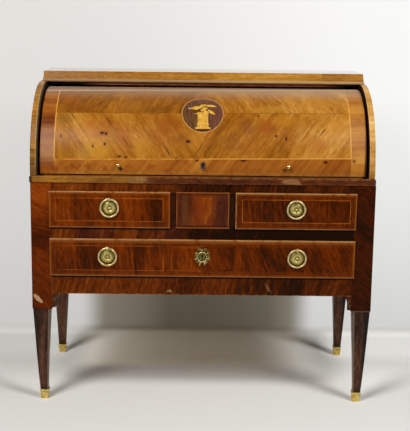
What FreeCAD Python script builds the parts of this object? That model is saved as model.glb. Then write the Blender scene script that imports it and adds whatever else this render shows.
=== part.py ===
import FreeCAD, Part
import math
import os
import re
import Sketcher

# A cylinder desk: a carcass of four posts on tapered legs, three drawers over one long drawer,
# a pull-out writing slide, and a rigid quarter-cylinder lid that turns on iron arms between the cheeks.
# Millimetres, +Z up, front towards -Y, origin on the floor at the middle of the desk.
SIZES = {
    "width": (1120, "over the posts"),
    "depth": (550, "front of the posts to the back"),
    "height": (1085, "floor to the top board"),
    "post": (66, "side of a square corner post"),
    "post_round": (5, "rounding of a post's lower end"),
    "leg_length": (320, "floor to the posts"),
    "leg_top": (59.5, "side of a leg at the post"),
    "leg_foot": (22.5, "side of a leg inside its sabot"),
    "leg_tenon": (24, "side of the leg's square tenon"),
    "leg_tenon_length": (30, "length of the leg's tenon"),
    "sabot_height": (34, "brass shoe on each foot"),
    "sabot_wall": (1, "brass around the foot"),
    "sabot_sole": (3, "brass under the foot"),
    "sabot_collar": (7, "height of the collar"),
    "collar_proud": (2, "collar outside the shoe"),
    "side_inset": (4, "side panels and cheeks behind the posts' faces"),
    "panel": (18, "thickness of side panels and cheeks"),
    "back_panel": (14, "thickness of the lower back"),
    "back_inset": (4, "back panels inside the rear face"),
    "upper_back": (8, "thickness of the upper back"),
    "tongue": (8, "depth and thickness of a panel's tongue"),
    "rail": (22, "thickness of the front rails"),
    "tenon_length": (16, "rail tenon in the post"),
    "tenon_thick": (10, "rail tenon, front to back"),
    "shoulder": (6, "rail tenon's shoulders"),
    "joint_gap": (0.1, "all round a tenon or tongue"),
    "post_foot": (55, "share of the posts' height below the apron"),
    "apron_share": (68, "the apron rail's share of that height"),
    "long_share": (113, "the long drawer opening's share of it"),
    "middle_share": (49, "share of the rail between the drawers"),
    "upper_share": (108, "share of the upper drawers' openings"),
    "top_share": (32, "share of the rail above the drawers"),
    "bracket_share": (48, "share of a corner bracket beside the post"),
    "centre_opening": (177, "width of the centre drawer's opening"),
    "divider": (24, "thickness of the drawer dividers"),
    "dustboard": (12, "thickness of the board under the upper drawers"),
    "runner": (42, "width of the long drawer's runner"),
    "runner_thick": (18, "height of the runner"),
    "guide_height": (50, "height of the drawer guides"),
    "bracket_width": (22, "corner bracket under the apron"),
    "bracket_tip": (10, "width of the bracket's blunt end"),
    "bracket_hollow": (62, "radius of the bracket's hollow"),
    "drawer_lip": (6, "overlap of a drawer front on its opening"),
    "drawer_proud": (7, "drawer front in front of the posts"),
    "drawer_edge": (3, "rounding of a drawer front"),
    "drawer_block": (13, "drawer front inside its opening"),
    "drawer_back_gap": (69, "drawer box to the lower back"),
    "drawer_side": (10, "thickness of drawer sides and backs"),
    "drawer_floor": (7, "thickness of drawer bottoms"),
    "drawer_gap": (0.7, "running clearance of a drawer"),
    "stop_gap": (0.3, "lipped front off the rails"),
    "centre_set_back": (1, "flush centre drawer behind the rails"),
    "pull_rise": (7, "upper ring pulls above their drawers' middle"),
    "long_pull_rise": (4, "long drawer's ring pulls above its middle"),
    "key_rise": (8, "long drawer's keyhole above its middle"),
    "long_pull_shift": (7, "long drawer's ring pulls outside the upper ones"),
    "plate_radius": (23, "round back plate of a pull"),
    "plate_edge": (1.6, "thickness of its rim"),
    "plate_crown": (3.2, "thickness at its boss"),
    "bead_radius": (13, "raised bead on the plate"),
    "bead_half": (1.6, "half the bead's width"),
    "boss_radius": (4, "boss in the plate's middle"),
    "ring_radius": (28.75, "pull ring, centre of its bar"),
    "ring_tube": (3.25, "half the ring's bar"),
    "pull_stand": (6, "ring in front of the drawer's face"),
    "eye_gap": (0.45, "ring bar in its eye"),
    "eye_wall": (1.5, "wall of the eye"),
    "eye_length": (6, "length of the eye"),
    "lip_height": (20, "front strip of the writing slide"),
    "lip_thickness": (22, "front strip, front to back"),
    "lip_proud": (4, "front strip in front of the posts"),
    "lip_gap": (1, "around the strip"),
    "slide_lift": (2, "slide's underside above its front strip's"),
    "slide_back_gap": (58, "slide to the upper back"),
    "slide_gap": (1, "slide to its guides at each side"),
    "guide": (17, "width of the slide's side guide"),
    "ledge": (21, "slide's support inside the guide"),
    "ledge_thick": (13, "height of that support"),
    "run_gap": (0.3, "under the slide"),
    "leather_margin": (45, "wood left around the leather"),
    "leather": (1.5, "thickness of the leather"),
    "shell_set_back": (28, "cylinder's face behind the posts' faces"),
    "shell_back_gap": (6, "open cylinder to the upper back"),
    "axis_rise": (17, "cylinder axis above the writing slide"),
    "cheek_lap": (18, "round edge of the cheeks outside the cylinder"),
    "shell": (18, "thickness of the cylinder"),
    "shell_angle": (100, "cylinder above its axis"),
    "shell_end": (6, "cylinder to cheek"),
    "cylinder_gap": (4.5, "cylinder above the writing slide"),
    "arm": (8, "thickness of the iron arms"),
    "arm_rim": (20, "width of the arm's rim"),
    "arm_boss": (9, "radius of the arm's boss"),
    "arm_spoke": (16, "width of the arm's spoke"),
    "pivot": (5, "radius of the pivot pins"),
    "pivot_hold": (12, "pin inside the cheek"),
    "pivot_gap": (0.05, "running clearance of the pins"),
    "fit_gap": (0.05, "pieces seated on curved faces"),
    "knob_inset": (255, "cylinder knob from the cylinder's end"),
    "knob_angle": (4, "cylinder knob above the axis"),
    "knob": (8, "radius of the knob's ball"),
    "knob_neck": (3, "radius of the knob's stem"),
    "knob_foot": (6, "radius of the knob's foot"),
    "knob_stand": (10, "ball's centre off the cylinder"),
    "top_board": (32, "thickness of the top"),
    "top_set_back": (45, "top board behind the axis"),
    "fascia_set_back": (19, "moulding's bead behind the axis"),
    "fascia_bead": (10, "height of the moulding's bead"),
    "fascia_slope": (10, "lean of the band above the bead"),
    "under_rail": (12, "height of the rail under the top"),
    "under_rail_set_back": (30, "that rail behind the axis"),
    "fitment_front": (10, "fitment in front of the axis"),
    "fitment_back_gap": (93, "fitment to the upper back"),
    "fitment_clear": (6, "fitment to the cylinder's arms"),
    "fitment_headroom": (86, "cylinder's inside above the fitment, over the axis"),
    "fitment_floor": (10, "thickness of the fitment's floor, shelf and top"),
    "fitment_side": (9, "thickness of its uprights"),
    "fitment_bay": (336, "width of its middle bay"),
    "pigeonhole_wall": (6, "thickness of the pigeonhole walls"),
    "small_share": (64, "share of the small drawers in the fitment's height"),
    "pigeonhole_share": (65, "share of the pigeonholes in it"),
    "small_front": (10, "thickness of a small drawer's front"),
    "small_side": (6, "thickness of a small drawer's sides"),
    "small_gap": (0.5, "running clearance of a small drawer"),
    "finger_notch": (12, "radius of a small drawer's finger notch"),
    "floor_gap": (2, "fitment above the slide"),
    "lock_width": (60, "lock case"),
    "lock_height": (42, "lock case"),
    "lock_thick": (10, "lock case, front to back"),
    "lock_recess": (4, "lock case let into the cylinder"),
    "bolt_width": (20, "lock bolt"),
    "bolt_thick": (6, "lock bolt, front to back"),
    "bolt_height": (22, "lock bolt"),
    "bolt_gap": (0.3, "around a lock bolt"),
    "bolt_throw": (9, "travel of a lock bolt"),
    "keyhole": (3, "radius of a keyhole"),
    "keyhole_slot": (9, "slot under a keyhole"),
    "cylinder_key_rise": (20, "cylinder's keyhole above the axis"),
    "plate_thick": (1.2, "escutcheon plates"),
    "oval_width": (16, "cylinder's oval escutcheon"),
    "oval_height": (26, "cylinder's oval escutcheon"),
    "cartouche": (2, "thickness of the long drawer's escutcheon"),
    "cartouche_width": (52, "long drawer's escutcheon"),
    "cartouche_height": (61, "long drawer's escutcheon"),
    "cartouche_bar": (3.2, "width of its scrolls"),
}

# Sizes that follow from the ones above: the depth sets the cylinder, the cylinder and the height set
# the writing slide, and what is left above the legs is shared out among the rails and drawers.
FOLLOWING = {
    "shell_radius": "(depth - back_inset - upper_back - shell_back_gap - shell_set_back)/2",
    "axis_back": "shell_set_back + shell_radius",
    "cheek_radius": "shell_radius + cheek_lap",
    "writing_height": "height - top_board - cheek_radius - axis_rise",
    "case_height": "writing_height - lip_height - lip_gap - leg_length",
    "case_shares": "post_foot + apron_share + long_share + middle_share + upper_share + top_share",
    "case_unit": "case_height/case_shares",
    "apron_rise": "leg_length + post_foot*case_unit",
    "apron": "apron_share*case_unit",
    "long_opening": "long_share*case_unit",
    "middle_rail": "middle_share*case_unit",
    "upper_opening": "upper_share*case_unit",
    "bracket_height": "bracket_share*case_unit",
    "drawer_depth": "depth - back_inset - back_panel - drawer_block - drawer_back_gap",
    "pull_spread": "(centre_opening/2 + divider + width/2 - post)/2",
    "long_pull_spread": "pull_spread + long_pull_shift",
    "knob_spread": "width/2 - side_inset - panel - shell_end - knob_inset",
    "slide": "lip_height - slide_lift",
    "slide_back": "depth - axis_back - back_inset - upper_back - slide_back_gap",
    "fitment_width": "width - 2*(side_inset + panel + shell_end + arm + fitment_clear)",
    "fitment_depth": "depth - axis_back + fitment_front - back_inset - upper_back - fitment_back_gap",
    "fitment_inside": "axis_rise + shell_radius - shell - fitment_headroom - floor_gap - 3*fitment_floor",
    "fitment_unit": "fitment_inside/(small_share + pigeonhole_share)",
    "small_height": "small_share*fitment_unit",
    "pigeonhole": "pigeonhole_share*fitment_unit",
}

# Places that several pieces share, as expressions of these sizes.
FRONT = "((drawer_proud + pull_stand + ring_tube - depth)/2)"
BACK = f"({FRONT} + depth)"
AXIS_Y = f"({FRONT} + axis_back)"
AXIS_Z = "(writing_height + axis_rise)"
DECK = "(writing_height - lip_height - lip_gap)"
POST_IN = "(width/2 - post)"
SIDE_OUT = "(width/2 - side_inset)"
SIDE_IN = f"({SIDE_OUT} - panel)"
LONG_LOW = "(apron_rise + apron)"
LONG_HIGH = f"({LONG_LOW} + long_opening)"
UPPER_LOW = f"({LONG_HIGH} + middle_rail)"
UPPER_HIGH = f"({UPPER_LOW} + upper_opening)"
FACE = f"({FRONT} - drawer_proud)"
TOP_LOW = "(height - top_board)"
SHELL_IN = "(shell_radius - shell)"
SHELL_X = f"({SIDE_IN} - shell_end)"
SHELL_LOW = "(writing_height + cylinder_gap)"
SIDES = {"left": -1, "right": 1}

doc = FreeCAD.newDocument("cylinder_desk")
sheet = doc.addObject("Spreadsheet::Sheet", "Sizes")
for row, (alias, (number, note)) in enumerate(SIZES.items(), start=1):
    sheet.set(f"A{row}", note)
    sheet.set(f"B{row}", str(number))
    sheet.setAlias(f"B{row}", alias)
doc.recompute()
nodes = []


def bound(text):
    """An expression in the sizes' names, pointed at the sheet's cells."""

    def cell(word):
        if word[0] in FOLLOWING:
            return f"({bound(FOLLOWING[word[0]])})"
        return f"Sizes.{word[0]}" if word[0] in SIZES else word[0]

    return re.sub(r"[a-z_]+", cell, text)


def value(text):
    """What an expression comes to with the sizes as they stand."""
    return float(sheet.evalExpression(bound(text)))


def bind(item, **expressions):
    """Tie properties to expressions; a double underscore in a name stands for a dot."""
    for name, text in expressions.items():
        item.setExpression(name.replace("__", "."), bound(text))
    return item


def place(item, x="0", y="0", z="0"):
    return bind(item, Placement__Base__x=x, Placement__Base__y=y, Placement__Base__z=z)


def node(item):
    """Mark an object as one of the desk's pieces, written to its own file."""
    nodes.append(item)
    return item


def on_side(side, low, high):
    """A span across the right half of the desk, or its mirror image on the left."""
    return (low, high) if SIDES[side] > 0 else (f"-({high})", f"-({low})")


def across(half):
    """A span centred on the middle of the desk."""
    return (f"-({half})", half)


def board(name, x, y, z):
    """A board between a low and a high expression in each direction."""
    item = doc.addObject("Part::Box", name)
    bind(item, Length=f"({x[1]}) - ({x[0]})", Width=f"({y[1]}) - ({y[0]})", Height=f"({z[1]}) - ({z[0]})")
    return place(item, x[0], y[0], z[0])


def rod(name, radius, length, x, y, z, along):
    """A round bar that starts at a point and runs along +X, -Y or +Z."""
    item = doc.addObject("Part::Cylinder", name)
    turn = {"X": (0, 1, 0, 90), "-Y": (1, 0, 0, 90), "Z": (0, 0, 1, 0)}[along]
    item.Placement.Rotation = FreeCAD.Rotation(FreeCAD.Vector(*turn[:3]), turn[3])
    bind(item, Radius=radius, Height=length)
    return place(item, x, y, z)


def taper(name, x, y, low, high, foot, head):
    """An upright square taper, from the foot's side to the head's."""
    item = doc.addObject("Part::Wedge", name)
    item.Placement.Rotation = FreeCAD.Rotation(FreeCAD.Vector(1, 0, 0), 90)
    bind(item, Xmin=f"-({foot})/2", Xmax=f"({foot})/2", Zmin=f"-({foot})/2", Zmax=f"({foot})/2")
    bind(item, X2min=f"-({head})/2", X2max=f"({head})/2", Z2min=f"-({head})/2", Z2max=f"({head})/2")
    bind(item, Ymin="0", Ymax=f"({high}) - ({low})")
    return place(item, x, y, low)


def fuse(name, *items):
    item = doc.addObject("Part::MultiFuse", name)
    item.Shapes = list(items)
    item.Refine = True
    return item


def cut(name, base, *tools):
    item = doc.addObject("Part::Cut", name)
    item.Base = base
    item.Tool = tools[0] if len(tools) == 1 else fuse(f"{name}_tools", *tools)
    item.Refine = True
    return item


def group(name, *items):
    """Like pieces that share one node."""
    item = doc.addObject("Part::Compound", name)
    item.Links = list(items)
    return item


def outline(body, role, corners, arcs, offset):
    """A closed sketch on one of the body's planes, each corner held by two bound distances.

    arcs maps a side's number to its arc's centre and sense; the other sides are straight.
    """
    sketch = body.newObject("Sketcher::SketchObject", f"{body.Name}_sketch")
    plane = next(part for part in body.Origin.OriginFeatures if part.Role == role)
    sketch.AttachmentSupport = (plane, [""])
    sketch.MapMode = "FlatFace"
    bind(sketch, AttachmentOffset__Base__z=offset)
    points = [FreeCAD.Vector(value(u), value(v), 0) for u, v in corners]
    held = []
    ends = []
    for side, (here, there) in enumerate(zip(points, points[1:] + points[:1])):
        if side not in arcs:
            ends.append((sketch.addGeometry(Part.LineSegment(here, there)), 1, 2))
            continue
        centre_u, centre_v, sense = arcs[side]
        centre = FreeCAD.Vector(value(centre_u), value(centre_v), 0)
        first, last = (here, there) if sense == "ccw" else (there, here)
        angles = [math.atan2(end.y - centre.y, end.x - centre.x) for end in (first, last)]
        circle = Part.Circle(centre, FreeCAD.Vector(0, 0, 1), here.distanceToPoint(centre))
        arc = sketch.addGeometry(Part.ArcOfCircle(circle, *angles))
        ends.append((arc, 1, 2) if sense == "ccw" else (arc, 2, 1))
        level = abs(there.x - here.x) > abs(there.y - here.y)
        held.append(("DistanceY", arc, 3, centre_v) if level else ("DistanceX", arc, 3, centre_u))
    for (here, _, last), (there, first, _) in zip(ends, ends[1:] + ends[:1]):
        sketch.addConstraint(Sketcher.Constraint("Coincident", here, last, there, first))
    for (side, first, _), (u, v) in zip(ends, corners):
        held.append(("DistanceX", side, first, u))
        held.append(("DistanceY", side, first, v))
    for kind, side, point, text in held:
        index = sketch.addConstraint(Sketcher.Constraint(kind, -1, 1, side, point, value(text)))
        sketch.setExpression(f"Constraints[{index}]", bound(text))
    return sketch


def pad(body, role, corners, arcs, offset, length):
    """Push a closed outline out of one of the body's planes."""
    sketch = outline(body, role, corners, arcs, offset)
    feature = body.newObject("PartDesign::Pad", f"{body.Name}_pad")
    feature.Profile = sketch
    bind(feature, Length=length)
    sketch.Visibility = False
    return feature


def new_body(name):
    return doc.addObject("PartDesign::Body", name)


def moulding(name, corners, arcs, half):
    """A section in Y and Z, run across the desk."""
    body = new_body(name)
    pad(body, "YZ_Plane", corners, arcs, f"-({half})", f"2*({half})")
    return body


def rectangle(u, v):
    return [(u[0], v[0]), (u[1], v[0]), (u[1], v[1]), (u[0], v[1])]


def round_edges(body, radius, wanted):
    """Round the edges of the body's last feature that the test picks."""
    doc.recompute()
    base = body.Tip
    names = [f"Edge{i}" for i, edge in enumerate(base.Shape.Edges, start=1) if wanted(edge)]
    feature = body.newObject("PartDesign::Fillet", f"{body.Name}_round")
    feature.Base = (base, names)
    bind(feature, Radius=radius)


def turned(name, corners, arcs):
    """A turned piece: half a section of radius and height, revolved about its own Z axis."""
    body = new_body(name)
    sketch = outline(body, "XZ_Plane", corners, arcs, "0")
    feature = body.newObject("PartDesign::Revolution", f"{name}_turn")
    feature.Profile = sketch
    feature.ReferenceAxis = (sketch, ["V_Axis"])
    feature.Angle = 360
    sketch.Visibility = False
    return body


def edge_at(axis, level):
    """A test for edges that lie wholly at one level of an axis."""
    return lambda edge: all(abs(getattr(end.Point, axis) - level) < 1e-4 for end in edge.Vertexes)


# Corner posts, mortised for the rails' tenons and grooved for the panels' tongues.
POST_ENDS = {"front": (FRONT, f"{FRONT} + post"), "rear": (f"{BACK} - post", BACK)}
TONGUE_X = (f"{SIDE_OUT} - panel/2 - tongue/2", f"{SIDE_OUT} - panel/2 + tongue/2")
PANEL_Y = (f"{FRONT} + post", f"{BACK} - post")
BACK_Y = (f"{BACK} - back_inset - back_panel", f"{BACK} - back_inset")
BACK_MIDDLE = f"{BACK} - back_inset - back_panel/2"
BACK_TONGUE_Y = (f"{BACK_MIDDLE} - tongue/2", f"{BACK_MIDDLE} + tongue/2")
TENON_Y = (f"{FRONT} + rail/2 - tenon_thick/2", f"{FRONT} + rail/2 + tenon_thick/2")
RAILS = {
    "apron_rail": ("apron_rise", LONG_LOW),
    "middle_rail_board": (LONG_HIGH, UPPER_LOW),
    "upper_rail": (UPPER_HIGH, DECK),
}


def widened(span, gap="joint_gap"):
    """A span with clearance at both ends, for the hole that takes it; a minus draws the ends in."""
    return (f"{span[0]} - ({gap})", f"{span[1]} + ({gap})")


def shouldered(span):
    return (f"{span[0]} + shoulder", f"{span[1]} - shoulder")


def post(row, side):
    name = f"{row}_{side}_post"
    x = on_side(side, POST_IN, "width/2")
    blank = new_body(f"{name}_blank")
    pad(blank, "XY_Plane", rectangle(x, POST_ENDS[row]), {}, "leg_length", f"{DECK} - leg_length")
    round_edges(blank, "post_round", edge_at("z", value("leg_length")))
    centre_x = f"{SIDES[side]}*(width/2 - post/2)"
    centre_y = f"({POST_ENDS[row][0]} + post/2)"
    holes = [
        board(
            f"{name}_leg_mortise",
            (f"{centre_x} - leg_tenon/2 - joint_gap", f"{centre_x} + leg_tenon/2 + joint_gap"),
            (f"{centre_y} - leg_tenon/2 - joint_gap", f"{centre_y} + leg_tenon/2 + joint_gap"),
            ("leg_length - post_round", "leg_length + leg_tenon_length + joint_gap"),
        )
    ]
    groove_y = {
        "front": (f"{FRONT} + post - tongue - joint_gap", f"{FRONT} + post + post_round"),
        "rear": (f"{BACK} - post - post_round", f"{BACK} - post + tongue + joint_gap"),
    }[row]
    groove_z = ("apron_rise - joint_gap", f"{DECK} + post_round")
    holes.append(board(f"{name}_side_groove", on_side(side, *widened(TONGUE_X)), groove_y, groove_z))
    if row == "front":
        for rail, z in RAILS.items():
            reach = on_side(side, f"{POST_IN} - post_round", f"{POST_IN} + tenon_length + joint_gap")
            holes.append(board(f"{name}_{rail}_mortise", reach, widened(TENON_Y), widened(shouldered(z))))
    else:
        reach = on_side(side, f"{POST_IN} - post_round", f"{POST_IN} + tongue + joint_gap")
        holes.append(board(f"{name}_back_groove", reach, widened(BACK_TONGUE_Y), groove_z))
    return node(cut(name, blank, *holes))


def leg(row, side):
    """A tapered leg with a square tenon up into its post."""
    name = f"{row}_{side}_leg"
    x = f"{SIDES[side]}*(width/2 - post/2)"
    y = f"({POST_ENDS[row][0]} + post/2)"
    stem = taper(f"{name}_stem", x, y, "sabot_sole", "leg_length", "leg_foot", "leg_top")
    tenon = board(
        f"{name}_tenon",
        (f"{x} - leg_tenon/2", f"{x} + leg_tenon/2"),
        (f"{y} - leg_tenon/2", f"{y} + leg_tenon/2"),
        ("leg_length", "leg_length + leg_tenon_length"),
    )
    return node(fuse(name, stem, tenon))


def sabot(row, side):
    """A brass shoe: a tapered cup with a square collar, hollowed to the leg."""
    name = f"{row}_{side}_sabot"
    x = f"{SIDES[side]}*(width/2 - post/2)"
    y = f"({POST_ENDS[row][0]} + post/2)"
    rate = "(leg_top - leg_foot)/(leg_length - sabot_sole)"
    mouth = f"(leg_foot + {rate}*(sabot_height - sabot_sole) + 2*sabot_wall)"
    cup = taper(f"{name}_cup", x, y, "0", "sabot_height", "leg_foot + 2*sabot_wall", mouth)
    half = f"({mouth}/2 + collar_proud)"
    collar = board(
        f"{name}_collar",
        (f"{x} - {half}", f"{x} + {half}"),
        (f"{y} - {half}", f"{y} + {half}"),
        ("sabot_height - sabot_collar", "sabot_height"),
    )
    hollow = taper(
        f"{name}_hollow", x, y, "sabot_sole", "leg_length", "leg_foot + 2*fit_gap", "leg_top + 2*fit_gap"
    )
    return cut(name, fuse(f"{name}_shoe", cup, collar), hollow)


for row in POST_ENDS:
    for side in SIDES:
        post(row, side)
        leg(row, side)
node(group("sabots", *[sabot(row, side) for row in POST_ENDS for side in SIDES]))

# Front rails, each with a tenon into both front posts.
BOLT_Y = f"{FRONT} + drawer_block + lock_thick/2"
MORTISE_Y = (f"{BOLT_Y} - bolt_thick/2", f"{BOLT_Y} + bolt_thick/2")
for name, z in RAILS.items():
    face = board(f"{name}_face", across(POST_IN), (FRONT, f"{FRONT} + rail"), z)
    tenon = board(f"{name}_tenons", across(f"({POST_IN} + tenon_length)"), TENON_Y, shouldered(z))
    if name == "middle_rail_board":
        whole = fuse(f"{name}_blank", face, tenon)
        strike_z = (f"{LONG_HIGH} - bolt_gap", f"{LONG_HIGH} + bolt_throw")
        strike_x = across("(bolt_width/2 + bolt_gap)")
        strike = board(f"{name}_strike", strike_x, widened(MORTISE_Y, "bolt_gap"), strike_z)
        node(cut(name, whole, strike))
    else:
        node(fuse(name, face, tenon))

# Side and back panels, tongued into the posts.
for side in SIDES:
    panel_x = on_side(side, SIDE_IN, SIDE_OUT)
    face = board(f"{side}_panel_face", panel_x, PANEL_Y, ("apron_rise", DECK))
    tongue_y = (f"{PANEL_Y[0]} - tongue", f"{PANEL_Y[1]} + tongue")
    tongue = board(f"{side}_panel_tongue", on_side(side, *TONGUE_X), tongue_y, ("apron_rise", DECK))
    node(fuse(f"{side}_side_panel", face, tongue))
face = board("lower_back_face", across(POST_IN), BACK_Y, ("apron_rise", DECK))
tongue = board("lower_back_tongue", across(f"({POST_IN} + tongue)"), BACK_TONGUE_Y, ("apron_rise", DECK))
node(fuse("lower_back_panel", face, tongue))
node(
    board(
        "upper_back_panel",
        across(SIDE_IN),
        (f"{BACK} - back_inset - upper_back", f"{BACK} - back_inset"),
        (DECK, TOP_LOW),
    )
)

# Small hollow brackets in the corners under the apron.
brackets = []
for side, sign in SIDES.items():
    body = new_body(f"{side}_corner_bracket")
    corners = [
        (f"{sign}*{POST_IN}", "apron_rise"),
        (f"{sign}*({POST_IN} - bracket_width)", "apron_rise"),
        (f"{sign}*({POST_IN} - bracket_tip)", "apron_rise - bracket_height"),
        (f"{sign}*{POST_IN}", "apron_rise - bracket_height"),
    ]
    sense = "cw" if sign > 0 else "ccw"
    hollow = (f"{sign}*({POST_IN} - bracket_tip - bracket_hollow)", "apron_rise - bracket_height", sense)
    pad(body, "XZ_Plane", corners, {1: hollow}, f"-({FRONT} + rail)", "rail - centre_set_back")
    brackets.append(body)
node(group("corner_brackets", *brackets))

# Inside the carcass: dividers, the board under the upper drawers, runners and guides.
BACK_IN = BACK_Y[0]
DIVIDER_IN = "(centre_opening/2)"
DIVIDER_OUT = "(centre_opening/2 + divider)"
UPPER_Z = (UPPER_LOW, UPPER_HIGH)
divider_y = (FRONT, BACK_IN)
dividers = [
    board(f"{side}_divider", on_side(side, DIVIDER_IN, DIVIDER_OUT), divider_y, UPPER_Z) for side in SIDES
]
node(group("drawer_dividers", *dividers))
BEHIND_RAIL = (f"{FRONT} + rail", BACK_IN)
shelf = board("dustboard_blank", across(SIDE_IN), BEHIND_RAIL, (f"{UPPER_LOW} - dustboard", UPPER_LOW))
POST_Z = (LONG_HIGH, UPPER_HIGH)
corners = [
    board(f"dustboard_{row}_{side}_corner", on_side(side, POST_IN, "width/2"), POST_ENDS[row], POST_Z)
    for row in POST_ENDS
    for side in SIDES
]
node(cut("dustboard", shelf, *corners))
runners = []
for side in SIDES:
    ledge_x = on_side(side, f"{POST_IN} - runner", POST_IN)
    ledge = board(f"{side}_runner_ledge", ledge_x, BEHIND_RAIL, (f"{LONG_LOW} - runner_thick", LONG_LOW))
    guide_x = on_side(side, POST_IN, SIDE_IN)
    wall_z = (f"{LONG_LOW} - runner_thick", f"{LONG_LOW} + guide_height")
    wall = board(f"{side}_runner_wall", guide_x, PANEL_Y, wall_z)
    runners.append(fuse(f"{side}_runner", ledge, wall))
    upper_guide_z = (UPPER_LOW, f"{UPPER_LOW} + guide_height")
    runners.append(board(f"{side}_upper_guide", guide_x, PANEL_Y, upper_guide_z))
node(group("drawer_runners", *runners))

# Cheeks: round at the front, notched over the slide's front strip, bored for the pivot pins.
LIP_BACK = f"({FRONT} - lip_proud + lip_thickness)"
LIP_TOP = "(writing_height + lip_gap)"
for side, sign in SIDES.items():
    blank = new_body(f"{side}_cheek_blank")
    corners = [
        (f"{LIP_BACK} + lip_gap", DECK),
        (f"{BACK}", DECK),
        (f"{BACK}", TOP_LOW),
        (AXIS_Y, TOP_LOW),
        (f"{AXIS_Y} - cheek_radius", f"{TOP_LOW} - cheek_radius"),
        (f"{AXIS_Y} - cheek_radius", LIP_TOP),
        (f"{LIP_BACK} + lip_gap", LIP_TOP),
    ]
    arc = {3: (AXIS_Y, f"{TOP_LOW} - cheek_radius", "ccw")}
    low = on_side(side, SIDE_IN, SIDE_OUT)[0]
    pad(blank, "YZ_Plane", corners, arc, low, "panel")
    start = on_side(side, f"{SIDE_IN} - shell_end", f"{SIDE_IN} + pivot_hold")
    reach = "shell_end + pivot_hold"
    bore = rod(f"{side}_cheek_bore", "pivot + pivot_gap", reach, start[0], AXIS_Y, AXIS_Z, "X")
    node(cut(f"{side}_cheek", blank, bore))

# Top board, the moulding along its front edge and the rail below it.
node(board("top_board_panel", across(SIDE_OUT), (f"{AXIS_Y} + top_set_back", BACK), (TOP_LOW, "height")))
bead_back = f"({AXIS_Y} + fascia_set_back + fascia_bead/2)"
corners = [
    (f"{AXIS_Y} + top_set_back", TOP_LOW),
    (f"{AXIS_Y} + top_set_back", "height"),
    (f"{bead_back} + fascia_slope", "height"),
    (bead_back, f"{TOP_LOW} + fascia_bead"),
    (bead_back, TOP_LOW),
]
arcs = {3: (bead_back, f"{TOP_LOW} + fascia_bead/2", "ccw")}
node(moulding("top_moulding", corners, arcs, SIDE_OUT))
node(
    board(
        "top_under_rail",
        across(SIDE_IN),
        (f"{AXIS_Y} + under_rail_set_back", f"{AXIS_Y} + under_rail_set_back + rail"),
        (f"{TOP_LOW} - under_rail", TOP_LOW),
    )
)

# Guides of the writing slide: a wall at each side and a ledge below.
SLIDE_LOW = "(writing_height - slide)"
guides = []
for side in SIDES:
    body = new_body(f"{side}_slide_guide")
    x = on_side(side, f"{SIDE_IN} - guide - ledge", SIDE_IN)
    inner, outer = (x[0], x[1]) if side == "right" else (x[1], x[0])
    step = f"{SIDES[side]}*({SIDE_IN} - guide)"
    low = f"{SLIDE_LOW} - run_gap"
    corners = [
        (inner, f"{low} - ledge_thick"),
        (outer, f"{low} - ledge_thick"),
        (outer, LIP_TOP),
        (step, LIP_TOP),
        (step, low),
        (inner, low),
    ]
    back = f"({BACK} - post - lip_gap)"
    pad(body, "XZ_Plane", corners, {}, f"-{back}", f"{back} - ({FRONT} + post + lip_gap)")
    guides.append(body)
node(group("slide_guides", *guides))

# Pivot pins of the cylinder, held in the cheeks.
PIN_END = f"({SHELL_X} - arm - lip_gap)"
pins = []
for side in SIDES:
    span = on_side(side, PIN_END, f"{SIDE_IN} + pivot_hold")
    length = f"({span[1]}) - ({span[0]})"
    pins.append(rod(f"{side}_pivot_pin", "pivot", length, span[0], AXIS_Y, AXIS_Z, "X"))
node(group("cylinder_pivots", *pins))

# Fitment behind the slide: floor, shelf, top and back, with uprights and pigeonhole walls.
FIT_FRONT = f"({AXIS_Y} - fitment_front)"
FIT_BACK = f"({FIT_FRONT} + fitment_depth)"
FIT_FLOOR = "(writing_height + floor_gap)"
FIT_LOW = f"({FIT_FLOOR} + fitment_floor)"
FIT_SHELF = f"({FIT_LOW} + small_height)"
FIT_HIGH = f"({FIT_SHELF} + fitment_floor)"
FIT_TOP = f"({FIT_HIGH} + pigeonhole)"
FIT_HALF = "(fitment_width/2)"
BAY = "(fitment_bay/2)"
SIDE_BAY = f"({FIT_HALF} - fitment_side - {BAY} - fitment_side)"
depth_y = (FIT_FRONT, FIT_BACK)
inner_y = (FIT_FRONT, f"{FIT_BACK} - fitment_floor")
shelf_z = (FIT_SHELF, FIT_HIGH)
bay_x = (f"{BAY} + fitment_side", f"{FIT_HALF} - fitment_side")
back_y = (f"{FIT_BACK} - fitment_floor", FIT_BACK)
base = board("fitment_base", across(FIT_HALF), depth_y, (FIT_FLOOR, FIT_LOW))
ears = board("fitment_ears", across(SIDE_IN), (f"{AXIS_Y} + top_set_back", FIT_BACK), (FIT_FLOOR, FIT_LOW))
node(
    group(
        "fitment_boards",
        fuse("fitment_floor_board", base, ears),
        board("fitment_shelf_left", on_side("left", *bay_x), inner_y, shelf_z),
        board("fitment_shelf_centre", across(BAY), inner_y, shelf_z),
        board("fitment_shelf_right", on_side("right", *bay_x), inner_y, shelf_z),
        board("fitment_top_board", across(FIT_HALF), depth_y, (FIT_TOP, f"{FIT_TOP} + fitment_floor")),
        board("fitment_back_board", across(FIT_HALF), back_y, (FIT_LOW, FIT_TOP)),
    )
)
uprights = []
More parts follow.
